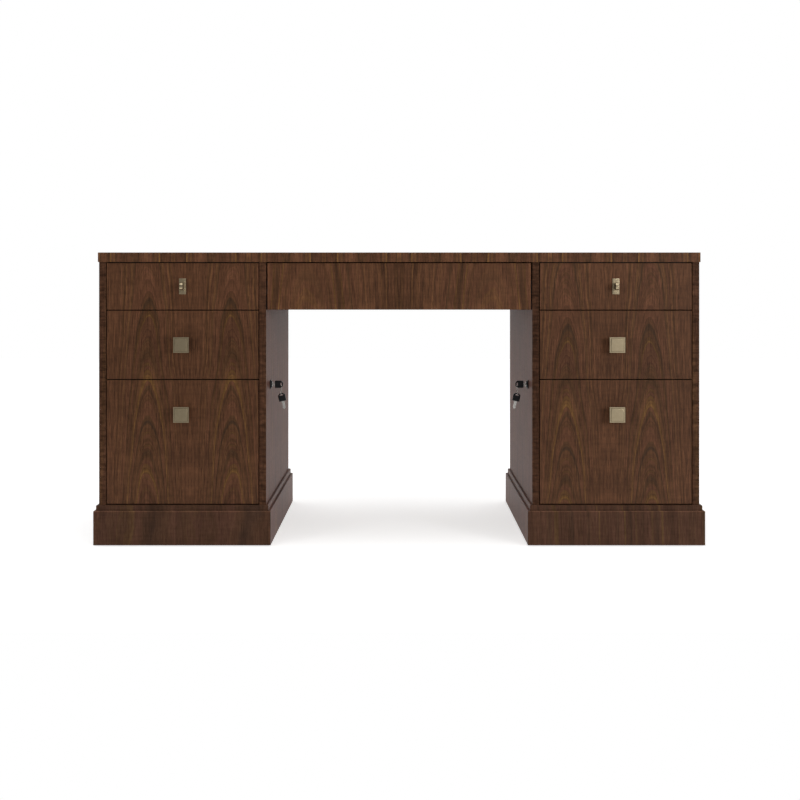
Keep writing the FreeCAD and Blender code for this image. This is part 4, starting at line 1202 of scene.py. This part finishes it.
class DESK_OT_drawer_boxes(bpy.types.Operator):
    """Builds the dovetailed maple boxes behind the drawer fronts"""

    bl_idname = "desk.drawer_boxes"
    bl_label = "Drawer boxes"

    def execute(self, context):
        drawers = context.scene.desk_drawers
        screw_hole = context.scene.desk_pulls.screw + drawers.play
        for drawer in DRAWERS:
            pull = "pull" if drawer == "top" else "knob"
            low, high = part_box(f"right_{drawer}_{pull}")
            box = self.box(drawers, f"right_{drawer}_box", (low + high) / 2, screw_hole, drawer == "file")
            fitted_pair(box, f"{drawer}_dovetailed_box", f"{drawer}_box", "drawer_maple")
        fitted(self.box(drawers, "centre_box"), "centre_dovetailed_box", "centre_box", "drawer_maple")
        return {"FINISHED"}

    def box(self, drawers, node, hole=None, hole_radius=0.0, railed=False):
        """Five boards, with a hole in the inner front for a pull's screw and seats for file rails."""
        low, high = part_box(node)
        wall = drawers.wall
        ends = []
        for y_end, y_shoulder in ((low.y, low.y + wall), (high.y, high.y - wall)):
            near, far = sorted((y_end, y_shoulder))
            end = block((low.x, near, low.z), (high.x, far, high.z))
            ends.append(cut(end, *self.tails(drawers, low, high, y_end, y_shoulder)))
        sides = []
        for x in (low.x, high.x - wall):
            side = block((x, low.y, low.z), (x + wall, high.y, high.z))
            sides.append(cut(side, *(copied(end) for end in ends)))
        bottom_low = low.z + drawers.bottom_rise
        inset = wall - drawers.groove
        play = Vector((drawers.play,) * 3)
        pocket = (Vector((low.x + inset, low.y + inset, bottom_low)),
                  Vector((high.x - inset, high.y - inset, bottom_low + drawers.bottom)))
        for wall_board in sides + ends:
            cut(wall_board, block(pocket[0] - play, pocket[1] + play))
        if hole is not None:
            start, end = Vector((hole.x, low.y - wall, hole.z)), Vector((hole.x, low.y + 2 * wall, hole.z))
            cut(ends[0], rod(hole_radius, start, end, 24))
        if railed:
            for end in ends:
                cut(end, *self.rail_seats(drawers.play))
        bottom = block(*pocket)
        for board in sides + ends:
            apply_modifier(board, "BEVEL", width=drawers.ease, segments=2, limit_method="ANGLE",
                           angle_limit=math.radians(40.0))
            with Shaping(board) as shape:
                shape.tidy()
        for board in sides:
            painted(board, finishes["maple_deep"])
        for board in ends + [bottom]:
            painted(board, finishes["maple_wide"])
        return joined(*sides, *ends, bottom)

    def tails(self, drawers, low, high, y_end, y_shoulder):
        """Wedges of both sides at one end of the box, wider at the end than at the shoulder."""
        count = max(2, int((high.z - low.z) / drawers.pitch))
        pitch = (high.z - low.z) / count
        half = drawers.tail / 2
        near, far = sorted((y_end, y_shoulder))
        wedges = []
        for x in (low.x, high.x - drawers.wall):
            for i in range(count):
                z = low.z + pitch * (i + 0.5)
                wedge = block((x, near, z - half), (x + drawers.wall, far, z + half))
                with Shaping(wedge) as shape:
                    shape.faces(lambda place, normal: abs(place.y - y_shoulder) < NEAR)
                    shape.resize(1, 1, (half - drawers.flare) / half, (x, y_shoulder, z))
                wedges.append(wedge)
        return [joined(*wedges)]

    def rail_seats(self, play):
        """Slots for the hanging-file rails."""
        low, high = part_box("right_file_rails")
        thickness = 3.0 * MM
        room = Vector((play,) * 3)
        return [block(Vector((x, low.y, low.z)) - room, Vector((x + thickness, high.y, high.z)) + room)
                for x in (low.x, high.x - thickness)]


class DESK_OT_runners(bpy.types.Operator):
    """Finishes the runners, rails, lock bars, top screws and glides, and screws the runners on"""

    bl_idname = "desk.runners"
    bl_label = "Runners and screws"

    def execute(self, context):
        # The runners are dark steel, dark also as painted shade in the gaps beside the drawers.
        dress(finishes["blackened"], "cabinet_runners", "centre_runners", *paired(
            "top_runners", "middle_runners", "file_runners", "file_middle_runners"))
        dress(finishes["zinc"], *paired("file_rails", "lock_bar"))
        dress(finishes["screw"], "top_screws")
        dress(finishes["nylon"], "floor_glides")
        # The top rails are nearly black, as painted shadow in the gap under the top.
        dress(finishes["stained"], "top_rails")
        screw = self.screw()
        for drawer in DRAWERS:
            screws = self.rows(screw, f"right_{drawer}_box")
            fitted_pair(screws, f"{drawer}_runner_screws", f"{drawer}_runners", "screw_steel", added=True)
        screws = self.rows(screw, "centre_box")
        fitted(screws, "centre_runner_screws", "centre_runners", "screw_steel", added=True)
        bpy.data.objects.remove(screw)
        return {"FINISHED"}

    def screw(self):
        """Low pan head with a cross recess, facing +X, its seat at the origin."""
        radius, rise, edge_round = 3.1 * MM, 1.5 * MM, 0.8 * MM
        head = rod(radius, (0, 0, 0), (rise, 0, 0), 24)
        with Shaping(head) as shape:
            shape.edges_at(0, rise)
            shape.bevel(edge_round, 3)
        slots = cross_slot(
            Vector((rise, 0, 0)), reach=1.8 * MM, depth=1.0 * MM, width=0.8 * MM, normal=Vector((1, 0, 0)))
        return painted(cut(head, *slots), finishes["screw"])

    def rows(self, screw, box):
        """Three screws along either side of a drawer box, at the middle of its height."""
        low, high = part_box(box)
        first, last = low.y + 40.0 * MM, high.y - 50.0 * MM
        z = (low.z + high.z) / 2
        screws = []
        for x, turn in ((low.x - RUNNER_STEEL, math.pi), (high.x + RUNNER_STEEL, 0.0)):
            for y in (first, (first + last) / 2, last):
                screws.append(copied(screw, Matrix.Translation((x, y, z)) @ Matrix.Rotation(turn, 4, "Z")))
        return joined(*screws)


class DESK_OT_finishes(bpy.types.Operator):
    """Mixes the brass, steel, maple and plastic finishes of the fittings"""

    bl_idname = "desk.finishes"
    bl_label = "Finishes"

    def execute(self, context):
        finishes["brass"] = brass_finish("antique_brass", (0.375, 0.302, 0.194), (0.412, 0.335, 0.218))
        # Dark brass: patina in the knob grooves, and painted shade on the knob sides, stems and tab flats.
        finishes["patina"] = brass_finish("brass_patina", (0.15, 0.115, 0.072), (0.20, 0.155, 0.10))
        finishes["maple_deep"] = maple_finish("maple_front_to_back", 1)
        finishes["maple_wide"] = maple_finish("maple_side_to_side", 0)
        # Nearly black maple for the top rails, as painted shadow.
        finishes["stained"] = maple_finish("maple_stained", 0, 0.03)
        finishes["zinc"] = steel_finish(
            "zinc_plated_steel", (0.48, 0.49, 0.50), (0.62, 0.62, 0.62), 0.28, 0.44)
        # Black steel for the runners, also as painted shade in the drawer gaps.
        finishes["blackened"] = steel_finish(
            "blackened_steel", (0.08, 0.082, 0.085), (0.13, 0.13, 0.13), 0.30, 0.44)
        finishes["screw"] = steel_finish("screw_steel", (0.42, 0.42, 0.43), (0.55, 0.55, 0.55), 0.22, 0.36)
        finishes["nickel"] = steel_finish("nickel", (0.55, 0.53, 0.50), (0.66, 0.64, 0.60), 0.16, 0.28)
        finishes["lacquer"] = moulded_finish("black_lacquer", (0.006, 0.006, 0.007), 0.34)
        finishes["plastic"] = moulded_finish("black_plastic", (0.006, 0.006, 0.007), 0.44)
        finishes["nylon"] = moulded_finish("glide_nylon", (0.05, 0.047, 0.042), 0.5)
        return {"FINISHED"}


OPERATORS = (
    DESK_OT_stage, DESK_OT_veneer, DESK_OT_finishes, DESK_OT_knobs, DESK_OT_tab_pulls, DESK_OT_locks,
    DESK_OT_keys, DESK_OT_drawer_boxes, DESK_OT_runners)


class DESK_PT_panel(bpy.types.Panel):
    """Lists the steps that build the desk"""

    bl_idname = "DESK_PT_panel"
    bl_label = "Executive desk"
    bl_space_type = "VIEW_3D"
    bl_region_type = "UI"
    bl_category = "Desk"

    def draw(self, context):
        for operator in OPERATORS:
            self.layout.operator(operator.bl_idname)


SETTINGS = {
    "desk_stage": DeskStageSettings, "desk_walnut": DeskWalnutSettings, "desk_pulls": DeskPullSettings,
    "desk_locks": DeskLockSettings, "desk_drawers": DeskDrawerSettings}
CLASSES = (*SETTINGS.values(), *OPERATORS, DESK_PT_panel)


def register():
    for cls in CLASSES:
        bpy.utils.register_class(cls)
    for name, group in SETTINGS.items():
        setattr(bpy.types.Scene, name, PointerProperty(type=group))


def unregister():
    for name in SETTINGS:
        delattr(bpy.types.Scene, name)
    for cls in reversed(CLASSES):
        bpy.utils.unregister_class(cls)


def main():
    register()
    select()
    bpy.ops.desk.stage()
    bpy.ops.desk.veneer()
    bpy.ops.desk.finishes()
    bpy.ops.desk.knobs()
    bpy.ops.desk.tab_pulls()
    bpy.ops.desk.locks()
    bpy.ops.desk.keys()
    bpy.ops.desk.drawer_boxes()
    bpy.ops.desk.runners()


if __name__ == "__main__":
    main()
